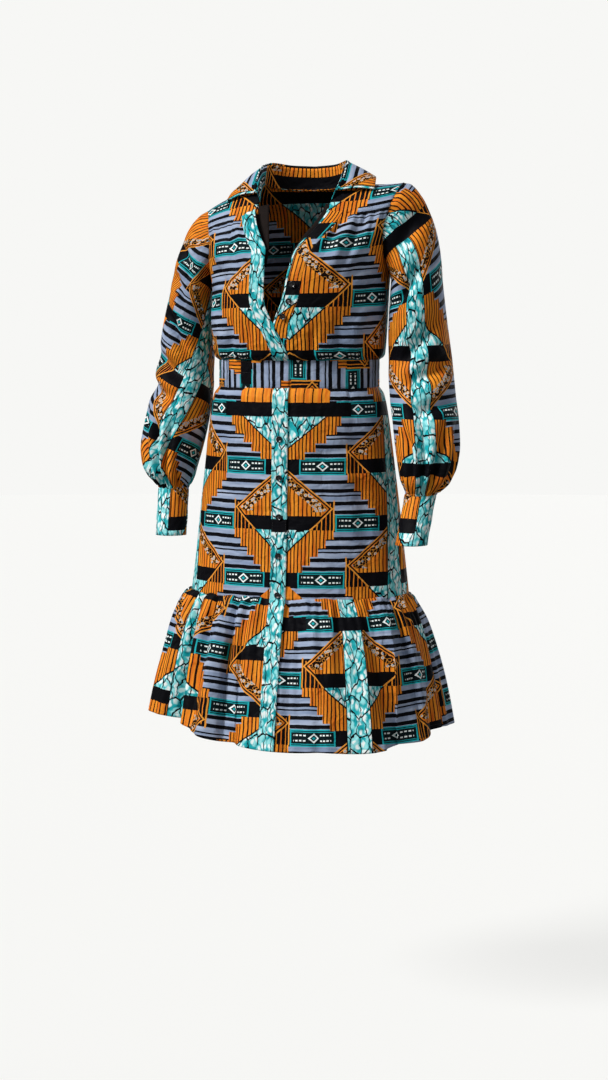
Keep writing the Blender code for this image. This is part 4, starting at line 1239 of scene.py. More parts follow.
LINE_LEVELS = np.linspace(0, 1, 240)
FRONT_ROWS = 86


def bodice_uv(read, levels, grid, u):
    """Cloth coordinates on the bodice: across from the centre line, and down from the shoulder."""
    line = section_point(read, LINE_LEVELS, 0.0)
    climb = np.interp(levels, LINE_LEVELS, lengths(line[:, None], 0)[:, 0])
    v = -WAIST_TOP - climb[:, None] + read["mid_z"](levels)[:, None] - grid[..., 2]
    return np.stack([u, v], axis=-1)


def front_panel(side, levels, count, band):
    """A front's grid and cloth coordinates, starting a band's width from its front edge."""
    sign = SIGNS[side]

    def inner(level):
        return EDGES[f"{side}_edge"](level) + sign * band

    grid = front_grid(side, levels, count, inner)
    run = lengths(grid, 1)
    u = inner(levels)[:, None] + (run if side == "left" else run - run[:, -1:])
    if side == "left":
        grid = moved_out(grid, -underlap(grid[..., 0]))
    return grid, bodice_uv(FRONT, levels, grid, u)


def make_bodice(sizes):
    """The fronts, gathered into the yokes and the waistband, the yokes and the back."""
    levels = np.linspace(0, YOKE_SEAM, FRONT_ROWS)
    for side in SIGNS:
        grid, uv = front_panel(side, levels, 54, BAND_WIDTH)
        v = uv[..., 1]
        gathers = gathered("yoke", uv[..., 0], v - v[-1:], side)
        gathers += gathered("waist", uv[..., 0], v[:1] - v, side)
        out = creased(grid[..., 0], grid[..., 2], FRONT_CREASES[side]) * sizes.crease_scale
        out = (out + gathers * sizes.gather_scale) * free_of(grid, ("start", "end"))
        make_cloth(f"bodice_front_{side}", grid, uv, out, ("low", "high", "start", "end"))
    levels = np.linspace(YOKE_SEAM, 1, 16)
    for side in SIGNS:
        grid, uv = front_panel(side, levels, 40, 0.0)
        make_cloth(f"yoke_{side}", grid, uv, 0.0, ("low", "high", "start", "end"))
    levels = np.linspace(0, 1, 96)
    grid = back_grid(levels, 104)
    run = lengths(grid, 1)
    uv = bodice_uv(BACK, levels, grid, run - run[:, -1:] / 2)
    v = uv[..., 1]
    gathers = gathered("waist back", uv[..., 0], v[:1] - v)
    out = creased(grid[..., 0], grid[..., 2], BACK_CREASES) * sizes.crease_scale
    out = (out + gathers * sizes.gather_scale) * free_of(grid, ("start", "end", "high"))
    make_cloth("bodice_back", grid, uv, out, ("low", "high", "start", "end"))


# ---- the front bands and facings ----

def strip_uv(grid):
    """Cloth coordinates of a band: across it from its middle, and down it from the shoulders."""
    run = lengths(grid, 1)
    return np.stack([run - run[:, -1:] / 2, -grid[..., 2]], axis=-1)


# The open placket turns out like a lapel between these levels, ever more towards its edge, with a
# fold down its length: its height, and its place and width as parts of the way across.
LAPEL_LEVELS = (0.52, 0.84)
LAPEL_BEND = 1.6
LAPEL_FOLD = (0.0030, 0.42, 0.16)
BAND_RIPPLE = 0.0007


def make_bands(sizes):
    """The bodice placket and the left button band."""
    levels = np.linspace(0, YOKE_SEAM, FRONT_ROWS)
    edge = EDGES["right_edge"]
    grid = edge_strip("right", levels, lambda level: edge(level) - BAND_WIDTH, edge, 12)
    part = np.linspace(0, 1, 12)[None]
    upper = smoothstep(*LAPEL_LEVELS, levels)[:, None]
    height, middle, width = LAPEL_FOLD
    fold = height * np.exp(-(((part - middle) / width) ** 2))
    lapel = sizes.lapel_lift * part ** LAPEL_BEND + fold
    ripple = BAND_RIPPLE * np.sin(levels * 41)[:, None] * part
    make_cloth("placket_bodice", grid, strip_uv(grid), upper * lapel + ripple,
               ("low", "high", "start"), layers=DOUBLED, slot="teal_print_cotton")
    edge = EDGES["left_edge"]
    grid = edge_strip("left", levels, edge, lambda level: edge(level) + BAND_WIDTH, 12)
    make_cloth("button_band_left", grid, strip_uv(grid), ripple * 0.7, ("low", "high", "end"),
               layers=DOUBLED)


def make_facings():
    """Dark strips inside the neck, which show past the open edges."""
    levels = np.linspace(FACING_FOOT, FACING_TOP, 40)
    under = -LAYER - FACING_CLEARANCE
    for side, sign in SIGNS.items():
        edge, facing = EDGES[f"{side}_edge"], EDGES[f"{side}_facing"]
        ends = [lambda level, edge=edge, sign=sign: edge(level) + sign * FACING_HOLD,
                lambda level, facing=facing, sign=sign: facing(level) - sign * FACING_SHORT]
        near, far = ends if side == "right" else ends[::-1]
        grid = edge_strip(side, levels, near, far, 10, under)
        make_cloth(f"facing_{side}", grid, strip_uv(grid), 0.0, slot="dark_facing_cotton")


# ---- the collar ----

def make_collar():
    """A stand on the neck seam, and a leaf that rolls over its top and falls to a free edge."""
    places = np.linspace(1, -1, 150)
    seam = mirrored(neck_seam(np.abs(places)), places)
    top, free = collar_line("top", places), collar_line("free", places)
    rise = top - seam
    rise /= np.linalg.norm(rise, axis=-1, keepdims=True)
    head = top - rise * (LEAF_ROLL + SEAM_GAP)
    grid = np.array([seam + (head - seam) * part for part in np.linspace(0, 1, 9)])
    around = lengths(grid[-1:], 1)
    around = np.repeat(around - around[:, -1:] / 2, 9, axis=0)
    uv = np.stack([around, -lengths(grid, 0)], axis=-1)
    make_cloth("collar_stand", grid, uv, 0.0, ("low",), layers=DOUBLED)

    outward = free - top
    outward[..., 2] = 0
    outward /= np.linalg.norm(outward, axis=-1, keepdims=True)
    up = np.array([0, 0, 1.0])
    start = top - rise * LEAF_ROLL
    crest = top + (outward * 0.9 + up * 0.4) * LEAF_ROLL
    past = top + (outward * 2.0 - up * 0.6) * LEAF_ROLL
    wave = (LEAF_WAVE * np.sin(places * 9 + 1.0) * np.abs(places) ** 2)[:, None]
    rows = [free + (past - free) * part + up * (LEAF_BULGE * math.sin(part * math.pi))
            + up * wave * (1 - part) for part in np.linspace(0, 1, 14)]
    # The roll: one curve from the leaf, over the crest, to the top of the stand.
    pull = 2 * crest - (past + start) / 2
    rows += [past * (1 - t) ** 2 + pull * 2 * t * (1 - t) + start * t * t
             for t in np.linspace(0, 1, 8)[1:]]
    grid = np.array(rows)
    run = lengths(grid, 0)
    around = lengths(grid[6:7], 1)
    around = np.repeat(around - around[:, -1:] / 2, len(grid), axis=0)
    uv = np.stack([around, run[13:14] - run], axis=-1)
    make_cloth("collar_leaf", grid, uv, 0.0, layers=DOUBLED)


# ---- the waistband, skirt and flounce ----

# The bearing at which each panel's measure across starts.
PANEL_STARTS = {"front_right": -math.pi / 2, "front_left": 0.0, "back": math.pi / 2}
SKIRT_COUNTS = {"front_right": 62, "front_left": 66, "back": 132}
FLOUNCE_COUNTS = {"front_right": 92, "front_left": 96, "back": 196}
SKIRT_ROWS = 98
FLOUNCE_ROWS = 72
# Beside the placket the left front lies calm, over this width.
LAP_CALM = 0.010
# The groove along the waistband's middle row of stitching: its depth, how far down it lies, and
# its width.
BAND_GROOVE = (0.0006, 0.0215, 0.0012)
# The long placket: how far it stands out, how far its free edge stands off between buttons, how
# much each buttonhole pulls it in, and how far up and down that reaches.
PLACKET_PROUD = 0.0006
EDGE_LIFT = 0.0012
BUTTON_PULL = 0.0014
PULL_REACH = 0.014


def run_to(surface, rows, bearing):
    """Distance round each row, from the centre front to a bearing."""
    steps = surface(rows[:, None], np.linspace(0, bearing, 60)[None])
    return (lengths(steps, 1)[:, -1:]) * np.sign(bearing)


def lap_at(half_width, width=BAND_HALF):
    """The bearing at which a ring is this wide of the centre front."""
    return np.arcsin(width / half_width)


def panel_bearings(name, half_width, counts):
    """Each row's bearings on a front or back panel, from its right edge to its left."""
    edge = lap_at(half_width, BAND_HALF - UNDERLAP_SHORT)[:, None]
    gap = lap_at(half_width)[:, None]
    part = np.linspace(0, 1, counts[name])[None]
    if name == "front_left":
        return -edge + (math.pi / 2 + edge) * part
    if name == "front_right":
        return -math.pi / 2 + (math.pi / 2 - gap) * part
    return math.pi / 2 + math.pi * part + 0 * edge


def make_waistband(sizes):
    """One strip that goes round once and laps over itself at the centre front."""
    waist = SKIRT_SECTIONS[0][1:]
    lap = math.asin(BAND_HALF / waist[0])
    bearings = np.linspace(-lap, 2 * math.pi + lap, 232)
    x, y = body_ring(*waist, bearings)
    grid = np.array([np.stack([x, y, np.full_like(x, z)], axis=-1)
                     for z in np.linspace(WAIST_BOTTOM, WAIST_TOP, 15)])
    sink = np.broadcast_to(LAYER * (1 - smoothstep(1.15 * lap, 3.2 * lap, bearings)),
                           grid.shape[:2])
    grid = moved_out(grid, -sink)
    run = lengths(grid, 1)
    u = run - run[:, :1] - BAND_HALF
    down = WAIST_TOP - grid[..., 2]
    pucker = gathered("band top", u, down)
    pucker += gathered("band foot", u, WAIST_TOP - WAIST_BOTTOM - down)
    depth, middle, width = BAND_GROOVE
    groove = -depth * np.exp(-(((down - middle) / width) ** 2))
    make_cloth("waistband", grid, np.stack([u, down], axis=-1),
               pucker * sizes.gather_scale + groove, ("low", "high"), layers=DOUBLED)


def make_skirt(sizes):
    """The skirt's two fronts and its back, hung from the waistband."""
    heights = np.linspace(FLOUNCE_TOP, WAIST_BOTTOM, SKIRT_ROWS)
    for name, start in PANEL_STARTS.items():
        bearing = panel_bearings(name, SKIRT["half_width"](heights), SKIRT_COUNTS)
        grid = skirt_points(heights[:, None], bearing)
        run = lengths(grid, 1)
        u = run_to(skirt_points, heights, start) + run if start else run - BAND_HALF
        uv = np.stack([u, -grid[..., 2]], axis=-1)
        if name == "front_left":
            grid = moved_out(grid, -underlap(grid[..., 0]))
        below = WAIST_BOTTOM - grid[..., 2]
        gathers = gathered("skirt", u, below, name)
        gathers += gathered("skirt foot", u, grid[..., 2] - FLOUNCE_TOP, name)
        out = creased(u, grid[..., 2], SKIRT_CREASES) * sizes.crease_scale
        out = (out + gathers * sizes.gather_scale) * free_of(grid, ("start", "end"))
        if name == "front_left":
            out = out * smoothstep(BAND_HALF, BAND_HALF + LAP_CALM, u)
        make_cloth(f"skirt_{name}", grid, uv, out, ("low", "high", "start", "end"))


def make_flounce(sizes):
    """A wide strip gathered onto the skirt, whose folds grow towards the hem."""
    parts = np.linspace(1, 0, FLOUNCE_ROWS)
    for name, start in PANEL_STARTS.items():
        bearing = panel_bearings(name, FLOUNCE["half_width"](parts), FLOUNCE_COUNTS)
        grid = flounce_points(parts[:, None], bearing)
        run = lengths(grid, 1)
        # The cut is a straight strip, so its measure across is that of one row, near the hem.
        middle = len(parts) * 2 // 5
        u = run_to(flounce_points, parts, start) + run if start else run - BAND_HALF
        u = np.repeat(u[middle:middle + 1], len(parts), axis=0)
        v = lengths(grid, 0)
        v = v[-1:] - v
        if name == "front_left":
            grid = moved_out(grid, -underlap(grid[..., 0]))
        gathers = gathered("flounce", u, v, name)
        # The flutes keep their whole depth down to the hem and fade towards the seam.
        flutes = gathered("flounce flutes", u, 0 * v, name) / SEAM_SHARE
        gathers += flutes * smoothstep(-0.10, 0.16, v)
        out = creased(u, grid[..., 2], FLOUNCE_CREASES) * FLOUNCE_DEEPER * sizes.crease_scale
        out = (out + gathers * sizes.gather_scale) * free_of(grid, ("start", "end"), 0.008)
        if name == "front_left":
            out = out * smoothstep(BAND_HALF, BAND_HALF + LAP_CALM, u)
        make_cloth(f"flounce_{name}", grid, np.stack([u, v], axis=-1), out,
                   ("high", "start", "end"))


def make_skirt_placket():
    """The long placket, from the waistband over the flounce seam to the hem."""
    across = np.linspace(-1, 1, 12)[None]
    parts = np.linspace(1, 0.01, FLOUNCE_ROWS)
    lap = lap_at(FLOUNCE["half_width"](parts))[:, None]
    low = flounce_points(parts[:, None], lap * across)
    heights = np.linspace(FLOUNCE_TOP + 0.002, WAIST_BOTTOM, SKIRT_ROWS)
    lap = lap_at(SKIRT["half_width"](heights))[:, None]
    high = skirt_points(heights[:, None], lap * across)
    grid = np.concatenate([low, high])
    z = grid[..., 2]
    pull = sum(np.exp(-(((z - height) / PULL_REACH) ** 2)) for height in SKIRT_BUTTON_HEIGHTS)
    free_edge = np.clip(across, 0, 1) ** 2 * (EDGE_LIFT - BUTTON_PULL * pull)
    out = PLACKET_PROUD + free_edge + 0.0005 * np.sin(z * 97) * np.abs(across)
    make_cloth("placket_skirt", grid, strip_uv(grid), out, ("high",), layers=DOUBLED,
               slot="teal_print_cotton")


# ---- the sleeves and cuffs ----

# Cloth across a sleeve is measured as round an even arm of this radius.
ARM_RADIUS = 0.060
# How far the left cap's grain runs down for each radian round the arm, and where it starts.
CAP_SLANT = 0.028
CAP_SLANT_FROM = math.radians(76)


def ring_rows(rows, sign):
    """Left-side rings stacked from the lowest up, on their own side."""
    return np.array(rows)[::-1] * np.array([sign, 1, 1])


def make_sleeves(sizes):
    """The sleeves, gathered at the cap and above the cuff."""
    start = SLEEVE_SECTIONS[0][0]
    heights = np.linspace(start, SLEEVE_SECTIONS[-1][0], 96)[1:]
    for side, sign in SIGNS.items():
        whole = turns_of(side, 99)
        turn = whole[:-1]
        cap = [cap_row(part, turn, side) for part in np.linspace(0, 1, 34)]
        grid = ring_rows(cap + [sleeve_ring(z, turn, side) for z in heights], sign)
        first = len(heights)
        climb = lengths(grid, 0)
        v = np.where(np.arange(len(grid))[:, None] < first, -grid[..., 2],
                     -start + climb[first:first + 1] - climb)
        v = np.concatenate([v, v[:, :1]], axis=1)
        u = np.broadcast_to(whole * ARM_RADIUS * -sign, v.shape)
        # The cap is cut on a curve, so near the shoulder the grain runs down towards the front.
        if side == "left":
            z = np.concatenate([grid[..., 2], grid[:, :1, 2]], axis=1)
            v = v - CAP_SLANT * (whole - CAP_SLANT_FROM) * smoothstep(-0.30, -0.12, z)
        across = np.broadcast_to(turn * ARM_RADIUS, grid.shape[:2])
        from_seam = np.abs(climb[-1:] - climb)
        top = ((1 + np.cos(turn)) / 2) ** 1.5
        cap_gathers = gathered("cap", across, from_seam, side) * top
        low_gathers = gathered("wrist", across, climb, side)
        out = creased(across, grid[..., 2], SLEEVE_CREASES[side])
        out = out * SLEEVE_DEEPER * sizes.crease_scale
        out = out * free_of(grid, ("low", "high"), 0.020)
        out = out + (cap_gathers + low_gathers) * sizes.gather_scale
        out = out * smoothstep(0, SLEEVE_CALM, math.pi - np.abs(turn))[None]
        make_cloth(f"sleeve_{side}", grid, np.stack([u, v], axis=-1), out, ("low", "high"),
                   closed=True)


def make_cuffs():
    """The deep fitted cuffs."""
    for side, sign in SIGNS.items():
        whole = turns_of(side, 65)
        turn = whole[:-1]
        parts = np.linspace(1, 0, 26)
        grid = ring_rows([cuff_points(part, turn, side) for part in parts], sign)
        v = np.concatenate([-grid[..., 2], -grid[:, :1, 2]], axis=1)
        u = np.broadcast_to(whole * CUFF_RADIUS * -sign, v.shape)
        across = np.broadcast_to(turn * CUFF_RADIUS, grid.shape[:2])
        wave = 0.0008 * np.sin(across * 70 + grid[..., 2] * 90) * np.sin(grid[..., 2] * 55)
        make_cloth(f"cuff_{side}", grid, np.stack([u, v], axis=-1),
                   wave * smoothstep(0, CUFF_CALM, math.pi - np.abs(turn))[None], ("high",),
                   closed=True, layers=DOUBLED)


# ---- buttons ----

BUTTON_STEPS = 40
HOLE_RADIUS = 0.00075
HOLE_AWAY = 0.00130
THREAD_RADIUS = 0.00036
# Half of a button's section, as radius and height, from its face round to its back.
BUTTON_PROFILE = (
    (0.0, 0.00165), (0.0024, 0.00165), (0.0034, 0.00178), (0.0041, 0.00225), (0.0046, 0.00256),
    (0.0050, BUTTON_THICK), (0.0054, 0.00240), (BUTTON_RADIUS, 0.00180), (0.0055, 0.00110),
    (0.0050, 0.00045), (0.0040, 0.0), (0.0, 0.0),
)
# Each group of buttons that is one piece: its solids, and which way along Y it faces.
BUTTON_GROUPS = {
    "bodice": (["button_bodice_1", "button_bodice_2", "button_bodice_3"], -1),
    "skirt": ([f"button_skirt_{number}" for number in range(1, 6)], -1),
    "cuffs": ([f"button_cuff_{side}_{number}" for side in SIGNS for number in (1, 2)], 1),
}


def turned(name, profile, steps):
    """A closed turned mesh from a profile of radius and height that starts and ends on the axis."""
    made = bmesh.new()
    points = [made.verts.new((radius, 0, height)) for radius, height in profile]
    edges = [made.edges.new(pair) for pair in zip(points, points[1:])]
    bmesh.ops.spin(made, geom=points + edges, axis=(0, 0, 1), cent=(0, 0, 0), steps=steps,
                   angle=2 * math.pi, use_merge=True)
    bmesh.ops.remove_doubles(made, verts=made.verts, dist=1e-6)
    bmesh.ops.recalc_face_normals(made, faces=made.faces)
    mesh = bpy.data.meshes.new(name)
    made.to_mesh(mesh)
    made.free()
    return mesh


def evaluated_mesh(made, name):
    """An object's mesh with its modifiers in place."""
    graph = bpy.context.evaluated_depsgraph_get()
    mesh = bpy.data.meshes.new_from_object(made.evaluated_get(graph))
    mesh.name = name
    return mesh


def button_mesh():
    """A turned button with a raised rim, a dished face and four holes."""
    made = bpy.data.objects.new("button", turned("button", BUTTON_PROFILE, BUTTON_STEPS))
    drill = bmesh.new()
    for quarter in range(4):
        angle = math.pi / 4 + quarter * math.pi / 2
        place = Matrix.Translation((HOLE_AWAY * math.cos(angle), HOLE_AWAY * math.sin(angle), 0))
        bmesh.ops.create_cone(drill, cap_ends=True, segments=14, radius1=HOLE_RADIUS,
                              radius2=HOLE_RADIUS, depth=4 * BUTTON_THICK, matrix=place)
    drills = bpy.data.objects.new("drill", bpy.data.meshes.new("drill"))
    drill.to_mesh(drills.data)
    drill.free()
    for helper in (made, drills):
        bpy.context.scene.collection.objects.link(helper)
    holes = made.modifiers.new("holes", "BOOLEAN")
    holes.object = drills
    mesh = evaluated_mesh(made, "button")
    for helper in (made, drills):
        bpy.data.objects.remove(helper)
    return mesh


def button_place(node, outward):
    """Where a button sits and which way it faces, from its solid: a turn and a move."""
    points = np.array([vert.co[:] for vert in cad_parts[node].data.vertices])
    centre = points.mean(axis=0)
    axis = np.linalg.eigh(np.cov((points - centre).T))[1][:, 0]
    axis = axis * np.sign(axis[1] * outward)
    back = centre + axis * ((points - centre) @ axis).min()
    turn = Vector(axis).to_track_quat("Z", "Y").to_matrix().to_4x4()
    return Matrix.Translation(back) @ turn


def joined(name, mesh, places):
    """Copies of one mesh at several places, as one mesh."""
    made = bmesh.new()
    for place in places:
        copy = mesh.copy()
        copy.transform(place)
        made.from_mesh(copy)
        bpy.data.meshes.remove(copy)
    whole = bpy.data.meshes.new(name)
    made.to_mesh(whole)
    made.free()
    whole.shade_smooth()
    return whole


def thread_mesh(place_list):
    """Two bars of thread over each button, down through its holes."""
    curve = bpy.data.curves.new("button_thread", "CURVE")
    curve.dimensions = "3D"
    curve.bevel_depth = THREAD_RADIUS
    curve.bevel_resolution = 1
    curve.use_fill_caps = True
    half = HOLE_AWAY * math.cos(math.pi / 4)
    run = ((-half, 0.0006), (-half, 0.0017), (-0.6 * half, 0.0021), (0.6 * half, 0.0021),
           (half, 0.0017), (half, 0.0006))
    for place in place_list:
        for row in (-half, half):
            line = curve.splines.new("POLY")
            line.points.add(len(run) - 1)
            for point, (x, z) in zip(line.points, run):
                point.co = (*(place @ Vector((x, row, z))), 1)
    helper = bpy.data.objects.new("button_thread", curve)
    bpy.context.scene.collection.objects.link(helper)
    mesh = evaluated_mesh(helper, "button_thread")
    bpy.data.objects.remove(helper)
    return mesh


def make_buttons():
    """Every button in place of its solid, with its thread."""
    one = button_mesh()
    for group, (nodes, outward) in BUTTON_GROUPS.items():
        places = [button_place(node, outward) for node in nodes]
        new_piece(f"buttons_{group}", joined(f"buttons_{group}", one, places),
                  FINISHES["black_button_plastic"], nodes)
        new_piece(f"button_thread_{group}", thread_mesh(places), FINISHES["thread"])


# ---- stitching ----

STITCH_PROUD = 0.00015
# Each row of stitching: the piece it runs on, and its two ends as parts of the way across and up
# that piece's grid.
STITCH_ROWS = (
    ("placket_bodice", 0.08, 0.02, 0.08, 0.98),
    ("placket_bodice", 0.93, 0.02, 0.93, 0.99),
    ("button_band_left", 0.08, 0.60, 0.08, 0.98),
    ("button_band_left", 0.93, 0.02, 0.93, 0.98),
    ("placket_skirt", 0.07, 0.01, 0.07, 0.99),
    ("placket_skirt", 0.93, 0.01, 0.93, 0.99),
    ("waistband", 0.0, 0.955, 1.0, 0.955),
    ("waistband", 0.0, 0.555, 1.0, 0.555),
    ("waistband", 0.0, 0.045, 1.0, 0.045),
    *((f"yoke_{side}", 0.0, up, 1.0, up) for up in (0.10, 0.93) for side in SIGNS),
    ("collar_leaf", 0.0, 0.045, 1.0, 0.045),
    ("collar_leaf", 0.013, 0.045, 0.013, 0.62),
    ("collar_leaf", 0.987, 0.045, 0.987, 0.62),
    *((f"flounce_{name}", 0.0, 0.030, 1.0, 0.030) for name in PANEL_STARTS),
    *((f"cuff_{side}", 0.0, up, 1.0, up) for up in (0.96, 0.04) for side in SIGNS),
)


def between(values, rows, columns):
    """A grid read at places between its points, each a part of the way up and across."""
    row, column = rows * (values.shape[0] - 1), columns * (values.shape[1] - 1)
    low = np.minimum(row.astype(int), values.shape[0] - 2)
    left = np.minimum(column.astype(int), values.shape[1] - 2)
    up, across = (row - low)[:, None], (column - left)[:, None]
    below = values[low, left] * (1 - across) + values[low, left + 1] * across
    above = values[low + 1, left] * (1 - across) + values[low + 1, left + 1] * across
    return below * (1 - up) + above * up


def stitch_line(row):
    """The points of a row of stitching and the cloth's outward direction at each."""
    piece, from_across, from_up, to_across, to_up = row
    grid = SURFACES[piece]
    if piece.startswith("cuff"):
        grid = np.concatenate([grid, grid[:, :1]], axis=1)
    part = np.linspace(0, 1, 420)
    rows = from_up + (to_up - from_up) * part
    columns = from_across + (to_across - from_across) * part
    out = between(normals_of(grid), rows, columns)
    return between(grid, rows, columns) + out * STITCH_PROUD, out


def stitch_tree(finish):
    """Lays one stitch after another along a line, flat on the cloth."""
    tree = bpy.data.node_groups.new("stitches along a line", "GeometryNodeTree")
    for name, kind, default in (("Line", "NodeSocketGeometry", None),
                                ("Pitch", "NodeSocketFloat", 0.003),
                                ("Stitch length", "NodeSocketFloat", 0.0021),
                                ("Thread width", "NodeSocketFloat", 0.00045),
                                ("Seed", "NodeSocketInt", 7)):
        socket = tree.interface.new_socket(name, in_out="INPUT", socket_type=kind)
        if default is not None:
            socket.default_value = default
    tree.interface.new_socket("Stitches", in_out="OUTPUT", socket_type="NodeSocketGeometry")
    given = add(tree, "NodeGroupInput").node.outputs
    line = add(tree, "GeometryNodeMeshToCurve", (given["Line"],))
    spaced = add(tree, "GeometryNodeResampleCurve", {"Curve": line, "Length": given["Pitch"]},
                 mode="LENGTH")
    out = add(tree, "GeometryNodeInputNamedAttribute", {"Name": "out"}, data_type="FLOAT_VECTOR")
    along = add(tree, "GeometryNodeInputTangent")
    turn = add(tree, "FunctionNodeAlignRotationToVector", {"Vector": out}, axis="Z")
    turn = add(tree, "FunctionNodeAlignRotationToVector", {"Rotation": turn, "Vector": along},
               axis="X", pivot_axis="Z")
    size = add(tree, "ShaderNodeCombineXYZ",
               (given["Stitch length"], given["Thread width"], given["Thread width"]))
    uneven = add(tree, "FunctionNodeRandomValue",
                 {"Min": (0.85,) * 3, "Max": (1.1,) * 3, "Seed": given["Seed"]},
                 data_type="FLOAT_VECTOR")
    size = add(tree, "ShaderNodeVectorMath", (size, uneven), operation="MULTIPLY")
    bead = add(tree, "GeometryNodeMeshUVSphere", {"Segments": 6, "Rings": 3, "Radius": 0.5})
    placed = add(tree, "GeometryNodeInstanceOnPoints",
                 {"Points": spaced, "Instance": bead, "Rotation": turn, "Scale": size})
    real = add(tree, "GeometryNodeRealizeInstances", (placed,))
    smooth = add(tree, "GeometryNodeSetShadeSmooth", (real,))
    done = add(tree, "GeometryNodeSetMaterial", {"Geometry": smooth, "Material": finish})
    tree.links.new(done, tree.nodes.new("NodeGroupOutput").inputs[0])
    return tree


def make_stitching(sizes):
    """Every visible row of stitching, joined into one piece."""
    points, outs, edges = [], [], []
    for row in STITCH_ROWS:
        line, out = stitch_line(row)
        first = len(points) * len(line)
        edges += [(first + i, first + i + 1) for i in range(len(line) - 1)]
        points.append(line)
        outs.append(out)
    mesh = bpy.data.meshes.new("stitch_lines")
    mesh.from_pydata(np.concatenate(points).tolist(), edges, [])
    kept = mesh.attributes.new("out", "FLOAT_VECTOR", "POINT")
    kept.data.foreach_set("vector", np.concatenate(outs).ravel())
    helper = bpy.data.objects.new("stitch_lines", mesh)
    bpy.context.scene.collection.objects.link(helper)
    tree = stitch_tree(FINISHES["thread"])
    laid = helper.modifiers.new("stitches", "NODES")
    laid.node_group = tree
    wanted = {"Pitch": sizes.stitch_pitch, "Stitch length": sizes.stitch_length,
              "Thread width": sizes.thread_width, "Seed": 7}
    for item in tree.interface.items_tree:
        if item.name in wanted:
            laid[item.identifier] = wanted[item.name]
    stitches = evaluated_mesh(helper, "stitching")
    bpy.data.objects.remove(helper)
    stitches.materials.clear()
    new_piece("stitching", stitches, FINISHES["thread"])


# ---- the stage ----

# The dress's own upright axis, which the camera looks at and turns round.
AXIS_X = 0.009
CAMERA_AWAY = 4.3
CAMERA_TURN = math.radians(17.0)
CAMERA_HEIGHT = -0.20
AIM_HEIGHT = -0.63
LENS = 79.2


def aimed(made, place, target):
    """Puts a lamp or camera in the scene at a place, facing a target."""
    made.location = place
    made.rotation_mode = "QUATERNION"
    made.rotation_quaternion = (Vector(target) - Vector(place)).to_track_quat("-Z", "Y")
    bpy.context.scene.collection.objects.link(made)


def make_stage(sizes, colours):
    """A pale floor, a plain bright surround, soft studio lights and the camera."""
    disc = bmesh.new()
    bmesh.ops.create_circle(disc, cap_ends=True, segments=96, radius=12.0)
    bmesh.ops.translate(disc, verts=disc.verts, vec=(0, 0, CAD_BOX[0][2] - sizes.floor_drop))
    mesh = bpy.data.meshes.new("floor")
    disc.to_mesh(mesh)
    disc.free()
    mesh.materials.append(studio_paint(colours))
    floor = bpy.data.objects.new("floor", mesh)
    bpy.context.scene.collection.objects.link(floor)

    middle = (AXIS_X, 0.0, (CAD_BOX[0][2] + CAD_BOX[1][2]) / 2)
    # Each lamp: its name, where it stands, its strength and its spread in degrees.
    for name, place, power, spread in (
        ("key", (-1.9, -2.1, 1.9), sizes.key_light, 18),
        ("fill", (2.6, -1.6, 0.1), sizes.fill_light, 60),
        ("back", (0.9, 2.6, 0.6), sizes.back_light, 50),
    ):
        lamp = bpy.data.lights.new(name, "SUN")
        lamp.energy = power
        lamp.angle = math.radians(spread)
        aimed(bpy.data.objects.new(name, lamp), place, middle)

    world = bpy.data.worlds.new("studio")
    world.use_nodes = True
    tree = world.node_tree
    tree.nodes.clear()
    seen = add(tree, "ShaderNodeLightPath")
    plain = add(tree, "ShaderNodeBackground", {"Color": colours["backdrop"], "Strength": 1.0})
    light = add(tree, "ShaderNodeBackground",
                {"Color": (1.0, 1.0, 1.0, 1.0), "Strength": sizes.surround_light})
    mixed = add(tree, "ShaderNodeMixShader", (seen, light, plain))
    add(tree, "ShaderNodeOutputWorld", (mixed,))
    bpy.context.scene.world = world
    bpy.context.scene.view_settings.view_transform = "Standard"

    camera = bpy.data.cameras.new("camera")
    camera.lens = LENS
    sine, cosine = math.sin(CAMERA_TURN), math.cos(CAMERA_TURN)
    across, ahead = AXIS_X * cosine, AXIS_X * sine
    holder = bpy.data.objects.new("camera", camera)
    aimed(holder, (CAMERA_AWAY * sine + across, -CAMERA_AWAY * cosine + ahead, CAMERA_HEIGHT),
          (across, ahead, AIM_HEIGHT))
    bpy.context.scene.camera = holder


# ---- the add-on ----

def colour_property(name, description, code):
    return FloatVectorProperty(name=name, description=description, default=linear(code), size=4,
                               subtype="COLOR", min=0, max=1)


def length_property(name, description, default):
    return FloatProperty(name=name, description=description, default=default, min=0, unit="LENGTH",
                         precision=4)


def plain_property(name, description, default):
    return FloatProperty(name=name, description=description, default=default, min=0)


class DressSizes(PropertyGroup):
    """The sizes of the looks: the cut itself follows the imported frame."""

    cloth_thickness: length_property("Cloth", "Thickness of a single cloth", 0.0010)
    lapel_lift: length_property("Lapel", "How far the open placket turns out", 0.011)
    crease_scale: plain_property("Creases", "How deep the wearing creases are", 1.3)
    gather_scale: plain_property("Gathers", "How deep the gathers are", 1.2)
    stitch_pitch: length_property("Stitch pitch", "From one stitch to the next", 0.0030)
    stitch_length: length_property("Stitch", "Length of one stitch", 0.0022)
    thread_width: length_property("Thread", "Width of the sewing thread", 0.00045)
    floor_drop: length_property("Floor", "How far the floor is below the hem", 0.52)
    key_light: plain_property("Key light", "Strength of the light at the front right", 3.3)
    fill_light: plain_property("Fill light", "Strength of the light at the front left", 0.35)
    back_light: plain_property("Back light", "Strength of the light behind", 0.8)
    surround_light: plain_property("Surround", "Brightness of the light from all round", 0.19)


